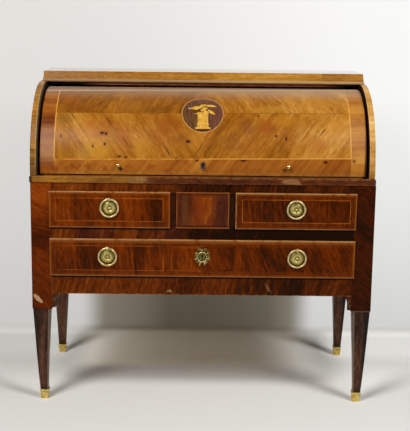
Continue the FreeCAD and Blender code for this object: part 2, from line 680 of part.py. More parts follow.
for side in SIDES:
    outer = on_side(side, f"{FIT_HALF} - fitment_side", FIT_HALF)
    inner = on_side(side, BAY, f"{BAY} + fitment_side")
    uprights.append(board(f"{side}_outer_upright", outer, inner_y, (FIT_LOW, FIT_TOP)))
    uprights.append(board(f"{side}_inner_upright", inner, inner_y, (FIT_LOW, FIT_TOP)))
    third = on_side(side, "fitment_bay/6 - pigeonhole_wall/2", "fitment_bay/6 + pigeonhole_wall/2")
    uprights.append(board(f"{side}_middle_pigeonhole_wall", third, inner_y, (FIT_HIGH, FIT_TOP)))
    for count in (1, 2):
        middle = f"({BAY} + fitment_side + {SIDE_BAY}*{count}/3)"
        wall = on_side(side, f"{middle} - pigeonhole_wall/2", f"{middle} + pigeonhole_wall/2")
        uprights.append(board(f"{side}_pigeonhole_wall_{count}", wall, inner_y, (FIT_HIGH, FIT_TOP)))
node(group("fitment_uprights", *uprights))


def keyhole(name, z, y, length):
    """A round hole with a slot below it, running towards the front."""
    hole = rod(f"{name}_hole", "keyhole", length, "0", y, z, "-Y")
    slot = board(f"{name}_slot", across("keyhole/2"), (f"{y} - ({length})", y), (f"{z} - keyhole_slot", z))
    return fuse(name, hole, slot)


def lock(name, y, low, slot, bolt):
    """A lock case with a slot that its bolt slides in; spans are expressions of height."""
    case = board(f"{name}_case", across("lock_width/2"), y, low)
    middle = f"(({y[0]}) + ({y[1]}))/2"
    bolt_y = (f"{middle} - bolt_thick/2", f"{middle} + bolt_thick/2")
    way = board(f"{name}_way", across("(bolt_width/2 + bolt_gap)"), widened(bolt_y, "bolt_gap"), slot)
    node(cut(name, case, way))
    node(board(f"{name}_bolt", across("bolt_width/2"), bolt_y, bolt))


# The cylinder: a quarter-round shell with a straight lower edge, on two iron arms.
def around(radius, angle):
    """A point on a circle about the axis, by its angle above the front."""
    return (f"{AXIS_Y} - ({radius})*cos({angle})", f"{AXIS_Z} + ({radius})*sin({angle})")


corners = [
    (f"{AXIS_Y} - shell_radius", SHELL_LOW),
    (f"{AXIS_Y} - {SHELL_IN}", SHELL_LOW),
    (f"{AXIS_Y} - {SHELL_IN}", AXIS_Z),
    around(SHELL_IN, "shell_angle"),
    around("shell_radius", "shell_angle"),
    (f"{AXIS_Y} - shell_radius", AXIS_Z),
]
arcs = {2: (AXIS_Y, AXIS_Z, "cw"), 4: (AXIS_Y, AXIS_Z, "ccw")}
blank = moulding("cylinder_blank", corners, arcs, SHELL_X)
LOCK_Y = (f"{AXIS_Y} - {SHELL_IN} - lock_recess", f"{AXIS_Y} - {SHELL_IN} - lock_recess + lock_thick")
LOCK_Z = (f"{SHELL_LOW} + lip_gap", f"{SHELL_LOW} + lip_gap + lock_height")
recess = board(
    "cylinder_lock_recess",
    across("(lock_width/2 + joint_gap)"),
    (f"{LOCK_Y[0]} - joint_gap", AXIS_Y),
    (f"{SHELL_LOW} - lip_gap", f"{LOCK_Z[1]} + joint_gap"),
)
key_z = f"({AXIS_Z} + cylinder_key_rise)"
key = keyhole("cylinder_keyhole", key_z, f"{AXIS_Y} - {SHELL_IN} + lock_thick", "3*shell")
stem_holes = []
knobs = []
for side, sign in SIDES.items():
    knob_y, knob_z = around("shell_radius + fit_gap", "knob_angle")
    stem = "(shell*2/3)"
    knob_x = f"{sign}*knob_spread"
    hole_y, hole_z = around(f"shell_radius - {stem} - fit_gap", "knob_angle")
    hole = rod(f"{side}_knob_hole", "knob_neck + fit_gap", f"{stem} + shell", knob_x, hole_y, hole_z, "-Y")
    stem_holes.append(bind(hole, Placement__Rotation__Angle="90 - knob_angle"))
    flare = "(knob_stand - sqrt(knob*knob - knob_neck*knob_neck))"
    corners = [
        ("0", f"-{stem}"),
        ("knob_neck", f"-{stem}"),
        ("knob_neck", "0"),
        ("knob_foot", "0"),
        ("knob_foot", "plate_thick"),
        ("knob_neck", "2*plate_thick"),
        ("knob_neck", flare),
        ("0", "knob_stand + knob"),
    ]
    ball = turned(f"{side}_cylinder_knob", corners, {6: ("0", "knob_stand", "ccw")})
    ball.Placement.Rotation = FreeCAD.Rotation(FreeCAD.Vector(1, 0, 0), 90)
    bind(ball, Placement__Rotation__Angle="90 - knob_angle")
    knobs.append(place(ball, knob_x, knob_y, knob_z))
node(cut("cylinder_shell", blank, recess, key, *stem_holes))
node(group("cylinder_knobs", *knobs))


def disc(name, radius, length, x, y, z):
    return rod(name, radius, length, x, y, z, "-Y")


# The cylinder's oval key plate follows its curve.
ring_x = "-oval_width"
plate_in = "shell_radius + fit_gap"
outer = rod("oval_outer", f"{plate_in} + plate_thick", "2*oval_width", ring_x, AXIS_Y, AXIS_Z, "X")
inner = rod("oval_inner", plate_in, "2*oval_width", ring_x, AXIS_Y, AXIS_Z, "X")
straight = "(oval_height/2 - oval_width/2)"
oval_y = f"{AXIS_Y} - {SHELL_IN}"
ovals = [
    disc(f"oval_{end}", "oval_width/2", "2*shell", "0", oval_y, f"{key_z} + ({sign})*{straight}")
    for end, sign in (("low", -1), ("high", 1))
]
waist_z = (f"{key_z} - {straight}", f"{key_z} + {straight}")
waist = board("oval_waist", across("oval_width/2"), (f"{oval_y} - 2*shell", oval_y), waist_z)
plate = doc.addObject("Part::Common", "oval_plate")
plate.Base = cut("oval_band", outer, inner)
plate.Tool = fuse("oval_outline", *ovals, waist)
node(cut("cylinder_escutcheon", plate, keyhole("oval_keyhole", key_z, oval_y, "2*shell")))
lock(
    "cylinder_lock",
    LOCK_Y,
    LOCK_Z,
    (f"{SHELL_LOW} - lip_gap", f"{LOCK_Z[0]} + bolt_height + 2*lip_gap"),
    (LOCK_Z[0], f"{LOCK_Z[0]} + bolt_height"),
)

# Iron arms: a rim let against the shell, a spoke and a bored boss on each pin.
arms = []
RIM_OUT = f"({SHELL_IN} - fit_gap)"
RIM_IN = f"({RIM_OUT} - arm_rim)"
for side in SIDES:
    body = new_body(f"{side}_arm_rim")
    span = on_side(side, f"{SHELL_X} - arm", SHELL_X)
    low, high = "arm_boss", "shell_angle - 2*arm_boss"
    corners = [around(RIM_OUT, low), around(RIM_IN, low), around(RIM_IN, high), around(RIM_OUT, high)]
    arcs = {1: (AXIS_Y, AXIS_Z, "cw"), 3: (AXIS_Y, AXIS_Z, "ccw")}
    pad(body, "YZ_Plane", corners, arcs, span[0], "arm")
    spoke = doc.addObject("Part::Box", f"{side}_arm_spoke")
    spoke.Placement.Rotation = FreeCAD.Rotation(FreeCAD.Vector(1, 0, 0), -45)
    bind(spoke, Length="arm", Width=f"{SHELL_IN} - arm_rim/2", Height="arm_spoke")
    shift = "sqrt(0.5)"
    reach = f"({SHELL_IN} - arm_rim/2)*{shift}"
    drop = f"arm_spoke/2*{shift}"
    place(spoke, span[0], f"{AXIS_Y} - {reach} - {drop}", f"{AXIS_Z} + {reach} - {drop}")
    boss = rod(f"{side}_arm_boss", "arm_boss", "arm", span[0], AXIS_Y, AXIS_Z, "X")
    bore = rod(f"{side}_arm_bore", "pivot + pivot_gap", "arm", span[0], AXIS_Y, AXIS_Z, "X")
    arms.append(cut(f"{side}_arm", fuse(f"{side}_arm_blank", body, spoke, boss), bore))
node(group("cylinder_arms", *arms))

# Writing slide: a board with a leather panel let in, and a strip across its front.
SLIDE_HALF = f"({SIDE_IN} - guide - slide_gap)"
slide_y = (LIP_BACK, f"{AXIS_Y} + slide_back")
leather_x = across(f"({SLIDE_HALF} - leather_margin)")
leather_y = (f"{LIP_BACK} + leather_margin", f"{FIT_FRONT} - small_front")
slide_board = board("slide_blank", across(SLIDE_HALF), slide_y, (SLIDE_LOW, "writing_height"))
sinking_z = ("writing_height - leather", "writing_height + leather")
sinking = board("slide_sinking", widened(leather_x), widened(leather_y), sinking_z)
lock_middle = f"(({LOCK_Y[0]}) + ({LOCK_Y[1]}))/2"
strike = board(
    "slide_strike",
    across("(bolt_width/2 + bolt_gap)"),
    (f"{lock_middle} - bolt_thick/2 - bolt_gap", f"{lock_middle} + bolt_thick/2 + bolt_gap"),
    ("writing_height - bolt_throw", "writing_height + lip_gap"),
)
node(cut("writing_slide", slide_board, sinking, strike))
lip_z = ("writing_height - lip_height", "writing_height")
node(board("slide_lip", across(SIDE_OUT), (f"{FRONT} - lip_proud", LIP_BACK), lip_z))
node(board("writing_leather", leather_x, leather_y, ("writing_height - leather", "writing_height")))


def lipped_front(name, x, z):
    """A drawer front whose rounded face laps over its opening."""
    body = new_body(name)
    face_x = (f"{x[0]} - drawer_lip", f"{x[1]} + drawer_lip")
    face_z = (f"{z[0]} - drawer_lip", f"{z[1]} + drawer_lip")
    face = rectangle(face_x, face_z)
    pad(body, "XZ_Plane", face, {}, f"-({FRONT} - stop_gap)", "drawer_proud - stop_gap")
    round_edges(body, "drawer_edge", edge_at("y", value(FACE)))
    block = rectangle(widened(x, "-drawer_gap"), widened(z, "-drawer_gap"))
    pad(body, "XZ_Plane", block, {}, f"-({FRONT} + drawer_block)", "drawer_block + stop_gap")
    return body


def drawer_box(
    name, x, z, start, depth="drawer_depth", side="drawer_side", floor="drawer_floor", gap="drawer_gap"
):
    """Two sides, a back between them and a bottom, behind a drawer front."""
    left, right = f"{x[0]} + {gap}", f"{x[1]} - {gap}"
    low, high = f"{z[0]} + {gap}", f"{z[1]} - 2*{gap}"
    end = f"{start} + {depth}"
    within = (f"{left} + {side}", f"{right} - {side}")
    floor_z = (f"{low} + {side}/2", f"{low} + {side}/2 + {floor}")
    return [
        board(f"{name}_left", (left, f"{left} + {side}"), (start, end), (low, high)),
        board(f"{name}_right", (f"{right} - {side}", right), (start, end), (low, high)),
        board(f"{name}_back", within, (f"{end} - {side}", end), (low, high)),
        board(f"{name}_bottom", within, (start, f"{end} - {side}"), floor_z),
    ]


def pull_plate(name, x, z):
    """A turned back plate with a bead and a boss, and the eye above it that carries the ring."""
    corners = [
        ("0", "0"),
        ("plate_radius", "0"),
        ("plate_radius", "plate_edge"),
        ("bead_radius + bead_half", "plate_crown - plate_edge/2"),
        ("bead_radius - bead_half", "plate_crown - plate_edge/2"),
        ("boss_radius", "plate_crown"),
        ("0", "plate_crown + boss_radius"),
    ]
    arcs = {
        3: ("bead_radius", "plate_crown - plate_edge/2", "ccw"),
        5: ("0", "plate_crown", "ccw"),
    }
    disc_body = turned(f"{name}_disc", corners, arcs)
    disc_body.Placement.Rotation = FreeCAD.Rotation(FreeCAD.Vector(1, 0, 0), 90)
    place(disc_body, x, FACE, z)
    eye_x, eye_y, eye_z = f"{x} - eye_length/2", f"{FACE} - pull_stand", f"{z} + ring_radius"
    bore = "(ring_tube + eye_gap)"
    lug = board(
        f"{name}_lug",
        (eye_x, f"{eye_x} + eye_length"),
        (f"{FACE} - pull_stand + {bore}", FACE),
        (f"{z} + bead_radius + bead_half", eye_z),
    )
    barrel = rod(f"{name}_barrel", f"{bore} + eye_wall", "eye_length", eye_x, eye_y, eye_z, "X")
    hole = rod(f"{name}_bore", bore, "eye_length", eye_x, eye_y, eye_z, "X")
    return cut(name, fuse(f"{name}_blank", disc_body, lug, barrel), hole)


def pull_ring(name, x, z):
    """A round ring hanging from its eye."""
    ring = doc.addObject("Part::Torus", name)
    ring.Placement.Rotation = FreeCAD.Rotation(FreeCAD.Vector(1, 0, 0), 90)
    bind(ring, Radius1="ring_radius", Radius2="ring_tube")
    return node(place(ring, x, f"{FACE} - pull_stand", z))


# Upper drawers: two lipped fronts with ring pulls, and a flush one between them.
BLOCK_BACK = f"({FRONT} + drawer_block)"
UPPER_MIDDLE = f"({UPPER_LOW} + upper_opening/2)"
LONG_MIDDLE = f"({LONG_LOW} + long_opening/2)"
UPPER_PULL = f"({UPPER_MIDDLE} + pull_rise)"
LONG_PULL = f"({LONG_MIDDLE} + long_pull_rise)"
KEY_MIDDLE = f"({LONG_MIDDLE} + key_rise)"
for side, sign in SIDES.items():
    x = on_side(side, DIVIDER_OUT, POST_IN)
    node(lipped_front(f"{side}_drawer_front", x, UPPER_Z))
    node(group(f"{side}_drawer_box", *drawer_box(f"{side}_drawer", x, UPPER_Z, BLOCK_BACK)))
    node(pull_plate(f"{side}_drawer_pull_plate", f"{sign}*pull_spread", UPPER_PULL))
    pull_ring(f"{side}_drawer_ring", f"{sign}*pull_spread", UPPER_PULL)
centre_x = across(DIVIDER_IN)
centre_face = (f"{FRONT} + centre_set_back", BLOCK_BACK)
inside_x, inside_z = widened(centre_x, "-drawer_gap"), widened(UPPER_Z, "-drawer_gap")
node(board("centre_drawer_front", inside_x, centre_face, inside_z))
node(group("centre_drawer_box", *drawer_box("centre_drawer", centre_x, UPPER_Z, BLOCK_BACK)))

# Long drawer, with two ring pulls, a lock and a pierced key plate.
LONG_X = across(POST_IN)
LONG_Z = (LONG_LOW, LONG_HIGH)
front = lipped_front("long_drawer_front_blank", LONG_X, LONG_Z)
key = keyhole("long_drawer_keyhole", KEY_MIDDLE, f"{BLOCK_BACK} + stop_gap", "2*drawer_block")
node(cut("long_drawer_front", front, key))
node(group("long_drawer_box", *drawer_box("long_drawer", LONG_X, LONG_Z, BLOCK_BACK)))
plates = []
for side, sign in SIDES.items():
    plates.append(pull_plate(f"long_drawer_{side}_plate", f"{sign}*long_pull_spread", LONG_PULL))
    pull_ring(f"long_drawer_{side}_ring", f"{sign}*long_pull_spread", LONG_PULL)
node(group("long_drawer_pull_plates", *plates))
case_top = f"({LONG_HIGH} - 2*drawer_gap)"
long_case = (f"{case_top} - lock_height", case_top)
lock(
    "long_drawer_lock",
    (BLOCK_BACK, f"{BLOCK_BACK} + lock_thick"),
    long_case,
    (f"{case_top} - bolt_height - 2*lip_gap", f"{case_top} + lip_gap"),
    (f"{case_top} - bolt_height", case_top),
)

# The key plate is open scrollwork: a core with rings around it.
half_w, half_h = "(cartouche_width/2)", "(cartouche_height/2)"
SCROLLS = [
    ("0", f"{half_h}*0.74", f"{half_h}*0.26"),
    ("0", f"-{half_h}*0.76", f"{half_h}*0.24"),
]
for sign in SIDES.values():
    SCROLLS.append((f"{sign}*{half_w}*0.52", f"{half_h}*0.48", f"{half_w}*0.36"))
    SCROLLS.append((f"{sign}*{half_w}*0.52", f"-{half_h}*0.42", f"{half_w}*0.36"))
    SCROLLS.append((f"{sign}*{half_w}*0.71", f"{half_h}*0.02", f"{half_w}*0.29"))
rings = [disc("cartouche_core", f"{half_w}*0.46", "cartouche", "0", FACE, KEY_MIDDLE)]
holes = [keyhole("cartouche_keyhole", KEY_MIDDLE, FACE, "cartouche")]
for index, (x, rise, radius) in enumerate(SCROLLS):
    z = f"{KEY_MIDDLE} + {rise}"
    rings.append(disc(f"cartouche_scroll_{index}", radius, "cartouche", x, FACE, z))
    holes.append(disc(f"cartouche_eye_{index}", f"{radius} - cartouche_bar", "cartouche", x, FACE, z))
node(cut("long_drawer_escutcheon", fuse("cartouche_blank", *rings), *holes))

# Two small drawers in the fitment, each with a finger notch in its front.
for side in SIDES:
    x = on_side(side, f"{BAY} + fitment_side", f"{FIT_HALF} - fitment_side")
    z = (FIT_LOW, FIT_SHELF)
    inside_x = (f"{x[0]} + small_gap", f"{x[1]} - small_gap")
    front_z = (f"{z[0]} + small_gap", f"{z[1]} - small_gap")
    face = board(f"{side}_small_face", inside_x, (FIT_FRONT, f"{FIT_FRONT} + small_front"), front_z)
    notch_x = f"({x[0]} + {x[1]})/2"
    notch_y = f"{FIT_FRONT} + 1.5*small_front"
    notch = disc(f"{side}_small_notch", "finger_notch", "2*small_front", notch_x, notch_y, front_z[1])
    depth = "fitment_depth - small_front - fitment_floor - small_gap"
    start = f"{FIT_FRONT} + small_front"
    box = drawer_box(f"{side}_small", x, z, start, depth, "small_side", "small_side", "small_gap")
    node(group(f"{side}_small_drawer", cut(f"{side}_small_front", face, notch), *box))

doc.recompute()
os.makedirs("parts", exist_ok=True)
for item in doc.Objects:
    broken = [state for state in item.State if state in ("Invalid", "Error")]
    if broken:
        raise RuntimeError(f"{item.Label} did not recompute: {item.State}")
for item in nodes:
    shape = item.Shape
    if shape.isNull() or not shape.isValid() or not shape.Solids:
        raise RuntimeError(f"{item.Label} has no valid solid")
    shape.exportStep(f"parts/{item.Label}.step")
print(len(nodes), "pieces")
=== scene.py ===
import math
import bmesh
import bpy
import numpy as np
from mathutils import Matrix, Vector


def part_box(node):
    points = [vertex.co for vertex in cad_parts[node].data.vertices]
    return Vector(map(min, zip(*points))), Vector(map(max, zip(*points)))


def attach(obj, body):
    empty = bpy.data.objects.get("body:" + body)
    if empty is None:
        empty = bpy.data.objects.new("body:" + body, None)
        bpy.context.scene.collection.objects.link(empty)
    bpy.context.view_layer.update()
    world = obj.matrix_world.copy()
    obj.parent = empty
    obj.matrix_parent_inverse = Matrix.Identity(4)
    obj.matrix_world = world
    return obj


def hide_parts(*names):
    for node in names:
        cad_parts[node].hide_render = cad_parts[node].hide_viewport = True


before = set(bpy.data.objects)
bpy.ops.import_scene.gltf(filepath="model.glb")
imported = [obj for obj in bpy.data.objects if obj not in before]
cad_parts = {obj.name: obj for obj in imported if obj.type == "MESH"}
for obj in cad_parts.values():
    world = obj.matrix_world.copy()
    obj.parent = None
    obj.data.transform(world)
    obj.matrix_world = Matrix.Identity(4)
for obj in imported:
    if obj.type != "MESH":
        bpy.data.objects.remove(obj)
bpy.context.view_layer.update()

# Legs: four square tapering legs of dark stained wood. Each is planed from one blank, and its corners are
# eased with a scraper.


class Field:
    """A value or colour that varies over a surface: the output socket of a node.

    Arithmetic between fields and numbers adds Math nodes; node() adds any other one.
    """

    def __init__(self, socket):
        self.socket = socket

    def node(self, kind, inputs, output=0, stops=(), **settings):
        """Add a node of a type, set it up, set or link its sockets, and give one of its outputs."""
        tree = self.socket.id_data
        made = tree.nodes.new(kind)
        for name, setting in settings.items():
            setattr(made, name, setting)
        if stops:
            ramp = made.color_ramp
            ramp.elements[0].position = stops[0][0]
            ramp.elements[1].position = stops[-1][0]
            for position, _ in stops[1:-1]:
                ramp.elements.new(position)
            for element, (_, shade) in zip(ramp.elements, stops):
                element.color = shade
        for key, content in inputs.items():
            if isinstance(content, Field):
                tree.links.new(content.socket, made.inputs[key])
            else:
                made.inputs[key].default_value = content
        return Field(made.outputs[output])

    def math(self, operation, other=0.0):
        return self.node("ShaderNodeMath", {0: self, 1: other}, operation=operation)

    def __add__(self, other):
        return self.math("ADD", other)

    __radd__ = __add__

    def __sub__(self, other):
        return self.math("SUBTRACT", other)

    def __rsub__(self, other):
        return self.node("ShaderNodeMath", {0: other, 1: self}, operation="SUBTRACT")

    def __mul__(self, other):
        return self.math("MULTIPLY", other)

    __rmul__ = __mul__

    def __truediv__(self, other):
        return self.math("DIVIDE", other)

    def __neg__(self):
        return self * -1

    def __abs__(self):
        return self.math("ABSOLUTE")

    def floor(self):
        return self.math("FLOOR")

    def least(self, other):
        return self.math("MINIMUM", other)

    def most(self, other):
        return self.math("MAXIMUM", other)

    def stray(self, size):
        """How far a noise is off its average, times a size."""
        return (self - 0.5) * size

    def rise(self, low, high):
        """0 below low and 1 above high, with a smooth step between."""
        ends = {"Value": self, "From Min": low, "From Max": high}
        return self.node("ShaderNodeMapRange", ends, interpolation_type="SMOOTHSTEP")

    def within(self, half, soft):
        """1 where the field is nearer to 0 than half, fading out over soft."""
        return 1 - abs(self).rise(half - soft / 2, half + soft / 2)

    def near(self, middle, half, soft):
        """1 where the field is nearer to a middle than half, fading out over soft."""
        return (self - middle).within(half, soft)

    def mix(self, off, on):
        """A colour that is off where the field is 0 and on where it is 1. Both are fields or hex codes."""
        off, on = [colour(shade) if isinstance(shade, str) else shade for shade in (off, on)]
        return self.node("ShaderNodeMix", {0: self, 6: off, 7: on}, output=2, data_type="RGBA")

    def over(self, shade, mask):
        """This colour with another laid over it where a mask is 1."""
        return mask.mix(self, shade)

    def shades(self, *stops):
        """A colour from a ramp of stops, each a position and a hex code."""
        return self.node("ShaderNodeValToRGB", {0: self}, stops=[(at, colour(code)) for at, code in stops])

    def noise(self, detail=2.0, roughness=0.5):
        """Smooth noise of a point, about 0.5 on average."""
        settings = {"Vector": self, "Scale": 1.0, "Detail": detail, "Roughness": roughness}
        return self.node("ShaderNodeTexNoise", settings)

    def chance(self):
        """A random number in 0 to 1 for each whole number."""
        return self.node("ShaderNodeTexWhiteNoise", {"W": self}, noise_dimensions="1D")


def colour(code):
    """Blender's linear colour for a hex code: each channel has the screen's curve taken off."""
    channels = np.array([int(code[start:start + 2], 16) for start in (0, 2, 4)]) / 255
    linear = np.where(channels <= 0.04045, channels / 12.92, ((channels + 0.055) / 1.055) ** 2.4)
    return (*linear.tolist(), 1.0)


def point(x, y, z):
    """Three fields or numbers as one vector."""
    given = next(part for part in (x, y, z) if isinstance(part, Field))
    return given.node("ShaderNodeCombineXYZ", {0: x, 1: y, 2: z})


def new_finish(name, **fixed):
    """A new material with its fixed shader values, and its place on the desk as x, y and z in metres."""
    material = bpy.data.materials.new(name)
    material.use_nodes = True
    tree = material.node_tree
    for socket, number in fixed.items():
        tree.nodes["Principled BSDF"].inputs[socket.replace("_", " ")].default_value = number
    place = Field(tree.nodes.new("ShaderNodeTexCoord").outputs["Object"])
    first = place.node("ShaderNodeSeparateXYZ", {0: place})
    return material, *[Field(out) for out in first.socket.node.outputs]


def feed(material, **fields):
    """Link fields to the inputs of a finish's shader, each by its name."""
    tree = material.node_tree
    for name, field in fields.items():
        tree.links.new(field.socket, tree.nodes["Principled BSDF"].inputs[name.replace("_", " ")])


def lay(material, tint, roughness, height, relief):
    """Feed a finish: its colour, its roughness, and a height whose full step is a relief in metres."""
    bump = height.node("ShaderNodeBump", {"Strength": 1.0, "Distance": relief, "Height": height})
    feed(material, Base_Color=tint, Roughness=roughness, Normal=bump)


def woodgrain(along, across, seed, sway=0.012, flecked=True):
    """Grain of a board: noises stretched along it.

    Slow noise sways the lines sideways. Noises of the swayed lines about 60, 12 and 2 mm wide then give
    its broad bands, its streaks and its fibres; short flecks break up the streaks.
    """
    line = across + point(along * 2.5, across * 7, seed).noise().stray(2 * sway)
    bands = point(along * 1.5, line * 16, seed + 3.1).noise()
    streaks = point(along * 4, line * 85, seed + 5.7).noise(3, 0.6)
    if flecked:
        streaks = streaks + point(along * 45, line * 130, seed + 7.3).noise(3, 0.6).stray(1.2)
    fibres = point(along * 22, line * 520, seed + 9.2).noise()
    return bands, streaks, fibres


def tone_of(grain, bands=0.7, streaks=0.6, fibres=0.25):
    """One tone about 0.5 from the three grains, each with its weight."""
    return 0.5 + grain[0].stray(bands) + grain[1].stray(streaks) + grain[2].stray(fibres)


def skin(name, *shells):
    """A mesh of closed skins, each over a row of rings.

    A shell is an array of rings by points by 3. Each point is joined to the next one in its ring and to
    the same one in the next ring by four-sided faces. The end rings are filled, or meet if they are equal.
    """
    corners = []
    faces = []
    start = 0
    for rings in shells:
        count, around = rings.shape[:2]
        index = start + np.arange(count * around).reshape(count, around)
        beside = np.roll(index, -1, axis=1)
        quads = np.stack([index[:-1], beside[:-1], beside[1:], index[1:]], axis=-1)
        faces += quads.reshape(-1, 4).tolist()
        if not np.allclose(rings[0], rings[-1]):
            faces += [index[0, ::-1].tolist(), index[-1].tolist()]
        corners.append(rings.reshape(-1, 3))
        start += count * around
    mesh = bpy.data.meshes.new(name)
    mesh.from_pydata(np.concatenate(corners).tolist(), [], faces)
    welded = bmesh.new()
    welded.from_mesh(mesh)
    bmesh.ops.remove_doubles(welded, verts=welded.verts, dist=2e-6)
    bmesh.ops.recalc_face_normals(welded, faces=welded.faces)
    welded.to_mesh(mesh)
    welded.free()
    mesh.shade_smooth()
    mesh.set_sharp_from_angle(angle=math.radians(32))
    return mesh


def fit(mesh, material, body, slot, *nodes):
    """Hang a finished mesh on the body it moves with, in place of the CAD nodes it stands for."""
    piece = bpy.data.objects.new(mesh.name, mesh)
    bpy.context.scene.collection.objects.link(piece)
    mesh.materials.append(material)
    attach(piece, body)
    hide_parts(*nodes)


def eased(half_x, half_y, radius, steps=4):
    """A rectangle about the origin with round corners, as points by 2.

    A quarter circle is turned a quarter at a time and set in each corner.
    """
    turn = np.linspace(0, np.pi / 2, steps)
    turns = np.concatenate([turn + quarter * np.pi / 2 for quarter in range(4)])
    signs = np.repeat([(1, 1), (-1, 1), (-1, -1), (1, -1)], steps, axis=0)
    return signs * (half_x - radius, half_y - radius) + radius * np.stack([np.cos(turns), np.sin(turns)], axis=-1)


def stack(outlines, heights):
    """Outlines of points by 2, each lifted to its height, as rings."""
    rings = np.empty((len(outlines), len(outlines[0]), 3))
    rings[:, :, :2] = outlines
    rings[:, :, 2] = np.asarray(heights)[:, None]
    return rings


SOLE, SHOE_MOUTH, LEG_HEAD = 0.003, 0.034, 0.3198
LEG_FOOT, LEG_TOP, LEG_DEEP = 0.01125, 0.0277, 0.02975
corners = ("front_left", "front_right", "rear_left", "rear_right")
leg_places = {at: np.mean(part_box(f"{at}_leg"), axis=0) * (1, 1, 0) for at in corners}
leg_heights = np.array([SOLE, SHOE_MOUTH, 0.06, 0.15, 0.24, LEG_HEAD])
leg_halves = np.interp(leg_heights, [SOLE, LEG_HEAD], [LEG_FOOT, LEG_TOP])
leg_depths = np.interp(leg_heights, [SOLE, LEG_HEAD], [LEG_FOOT, LEG_DEEP])

# How far each leg stands off its middle at the foot and above: none of them is quite straight.
LEG_LEANS = {
    "front_left": (-0.0008, -0.0040), "front_right": (0.0010, 0.0040),
    "rear_left": (-0.0008, 0.0), "rear_right": (0.0020, 0.0034),
}
lean_share = np.interp(leg_heights, [SOLE, SHOE_MOUTH, 0.06, 0.15], [0.0, 0.2, 0.55, 1.0])

leg_finish, x, y, z = new_finish("stained_leg", Specular_IOR_Level=0.15)
grain = woodgrain(z, x + y * 1.3, 2.0, 0.006)
right = x.rise(-0.05, 0.05)
# Painted shade: the right legs are laid darker. The legs also darken towards their heads.
tone = tone_of(grain, 0.5, 0.7, 0.3) - z.rise(0.12, 0.27) * 0.2 + y.rise(0.1, 0.2) * 0.16 - right * 0.07 + 0.05
tone = tone - abs(x).rise(0.534, 0.548) * z.rise(0.05, 0.14) * (0.1 + right * 0.25)
tint = tone.shades((0.08, "150a05"), (0.3, "2c180c"), (0.5, "48291a"), (0.7, "5a3c2a"), (0.9, "6f5038"))
tint = tint.over("2a1a10", z.rise(0.055, SHOE_MOUTH))
inner_side = (abs(x) - 0.5193 + z * 0.0373).rise(0.0012, 0.0) * y.rise(-0.15, -0.2)
tint = tint.over("857565", inner_side * 0.5)
lay(leg_finish, tint, 0.34 + grain[1].stray(0.3), grain[2], 0.0002)

leg_outlines = np.stack([eased(half, deep, 0.0016) for half, deep in zip(leg_halves, leg_depths)])
for at in corners:
    foot_off, head_off = LEG_LEANS[at]
    rings = stack(leg_outlines, leg_heights) + leg_places[at]
    rings[:, :, 0] += (foot_off + (head_off - foot_off) * lean_share)[:, None]
    fit(skin(f"{at}_tapered_leg", rings), leg_finish, "carcass", "leg_wood", f"{at}_leg")

# Sabots: a cast brass shoe driven on to each foot, square like the leg, with a moulded collar at its mouth
# and an eased sole. A highlight is painted pale along the top of the collar, and the hollow under the collar is
# darker.


def grit(place, fineness, detail=2.0, roughness=0.5):
    """Noise that is alike in all directions, with about this many grains to a metre along each field."""
    scaled = [part * fineness if isinstance(part, Field) else part for part in place]
    return point(*scaled).noise(detail, roughness)


shoe_profile = np.array([
    (0.0000, 0.0112), (0.0008, 0.0122), (0.0040, 0.0126), (0.0240, 0.0139), (0.0256, 0.0142),
    (0.0262, 0.0147), (0.0272, 0.0153), (0.0300, 0.0155), (0.0328, 0.0153), (0.0338, 0.0149), (0.0340, 0.0142),
])

brass, x, y, z = new_finish("worn_brass", Metallic=0.9, Specular_IOR_Level=0.5)
mottle = grit((x, y, z), 90, 3)
scratches = point(x * 700, y * 500, z * 900).noise(2)
tint = (mottle * 0.7 + scratches * 0.3).shades((0.3, "a88c3c"), (0.5, "d8ba62"), (0.72, "f0dc9c"))
# Painted highlight: the top of the collar is laid pale cream.
tint = tint.over("fff0c0", z.rise(0.0262, 0.0274) * 0.15)
tint = tint.over("5a4418", z.near(0.0245, 0.0012, 0.001) * 0.5)
lay(brass, tint, 0.3 + mottle.stray(0.35), scratches, 0.00008)

shoe_rings = np.stack([eased(half, half, 0.0022) for half in shoe_profile[:, 1]])
shoes = [stack(shoe_rings, shoe_profile[:, 0]) + leg_places[at] + (LEG_LEANS[at][0], 0, 0) for at in corners]
fit(skin("brass_sabots", *shoes), brass, "carcass", "brass", "sabots")

# Corner posts: four square posts that carry the whole case. They are veneered with red-brown wood whose
# flame runs slantwise across the face. The left one is laid lighter, most near its top, as painted light, and the
# right one darker as painted shade; the left one has lost a chip of veneer.


def in_oval(place, middle, radii, turn=0.0):
    """A place as an oval sees it: its middle at 0, its radii as long as 1, and turned by degrees."""
    oval = {
        "Vector": place, "Location": (*middle, 0.0), "Rotation": (0.0, 0.0, math.radians(turn)),
        "Scale": (*radii, 1.0),
    }
    return place.node("ShaderNodeMapping", oval, vector_type="TEXTURE")


def reach(place, middle, radii, turn=0.0):
    """How far a place is from a middle: 1 all round an oval of those radii, turned by degrees."""
    local = in_oval(place, middle, radii, turn)
    return local.node("ShaderNodeVectorMath", {0: local}, output=1, operation="LENGTH")


def dress(material, *nodes):
    """Put a finish on CAD nodes."""
    for node in nodes:
        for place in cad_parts[node].material_slots:
            place.material = material


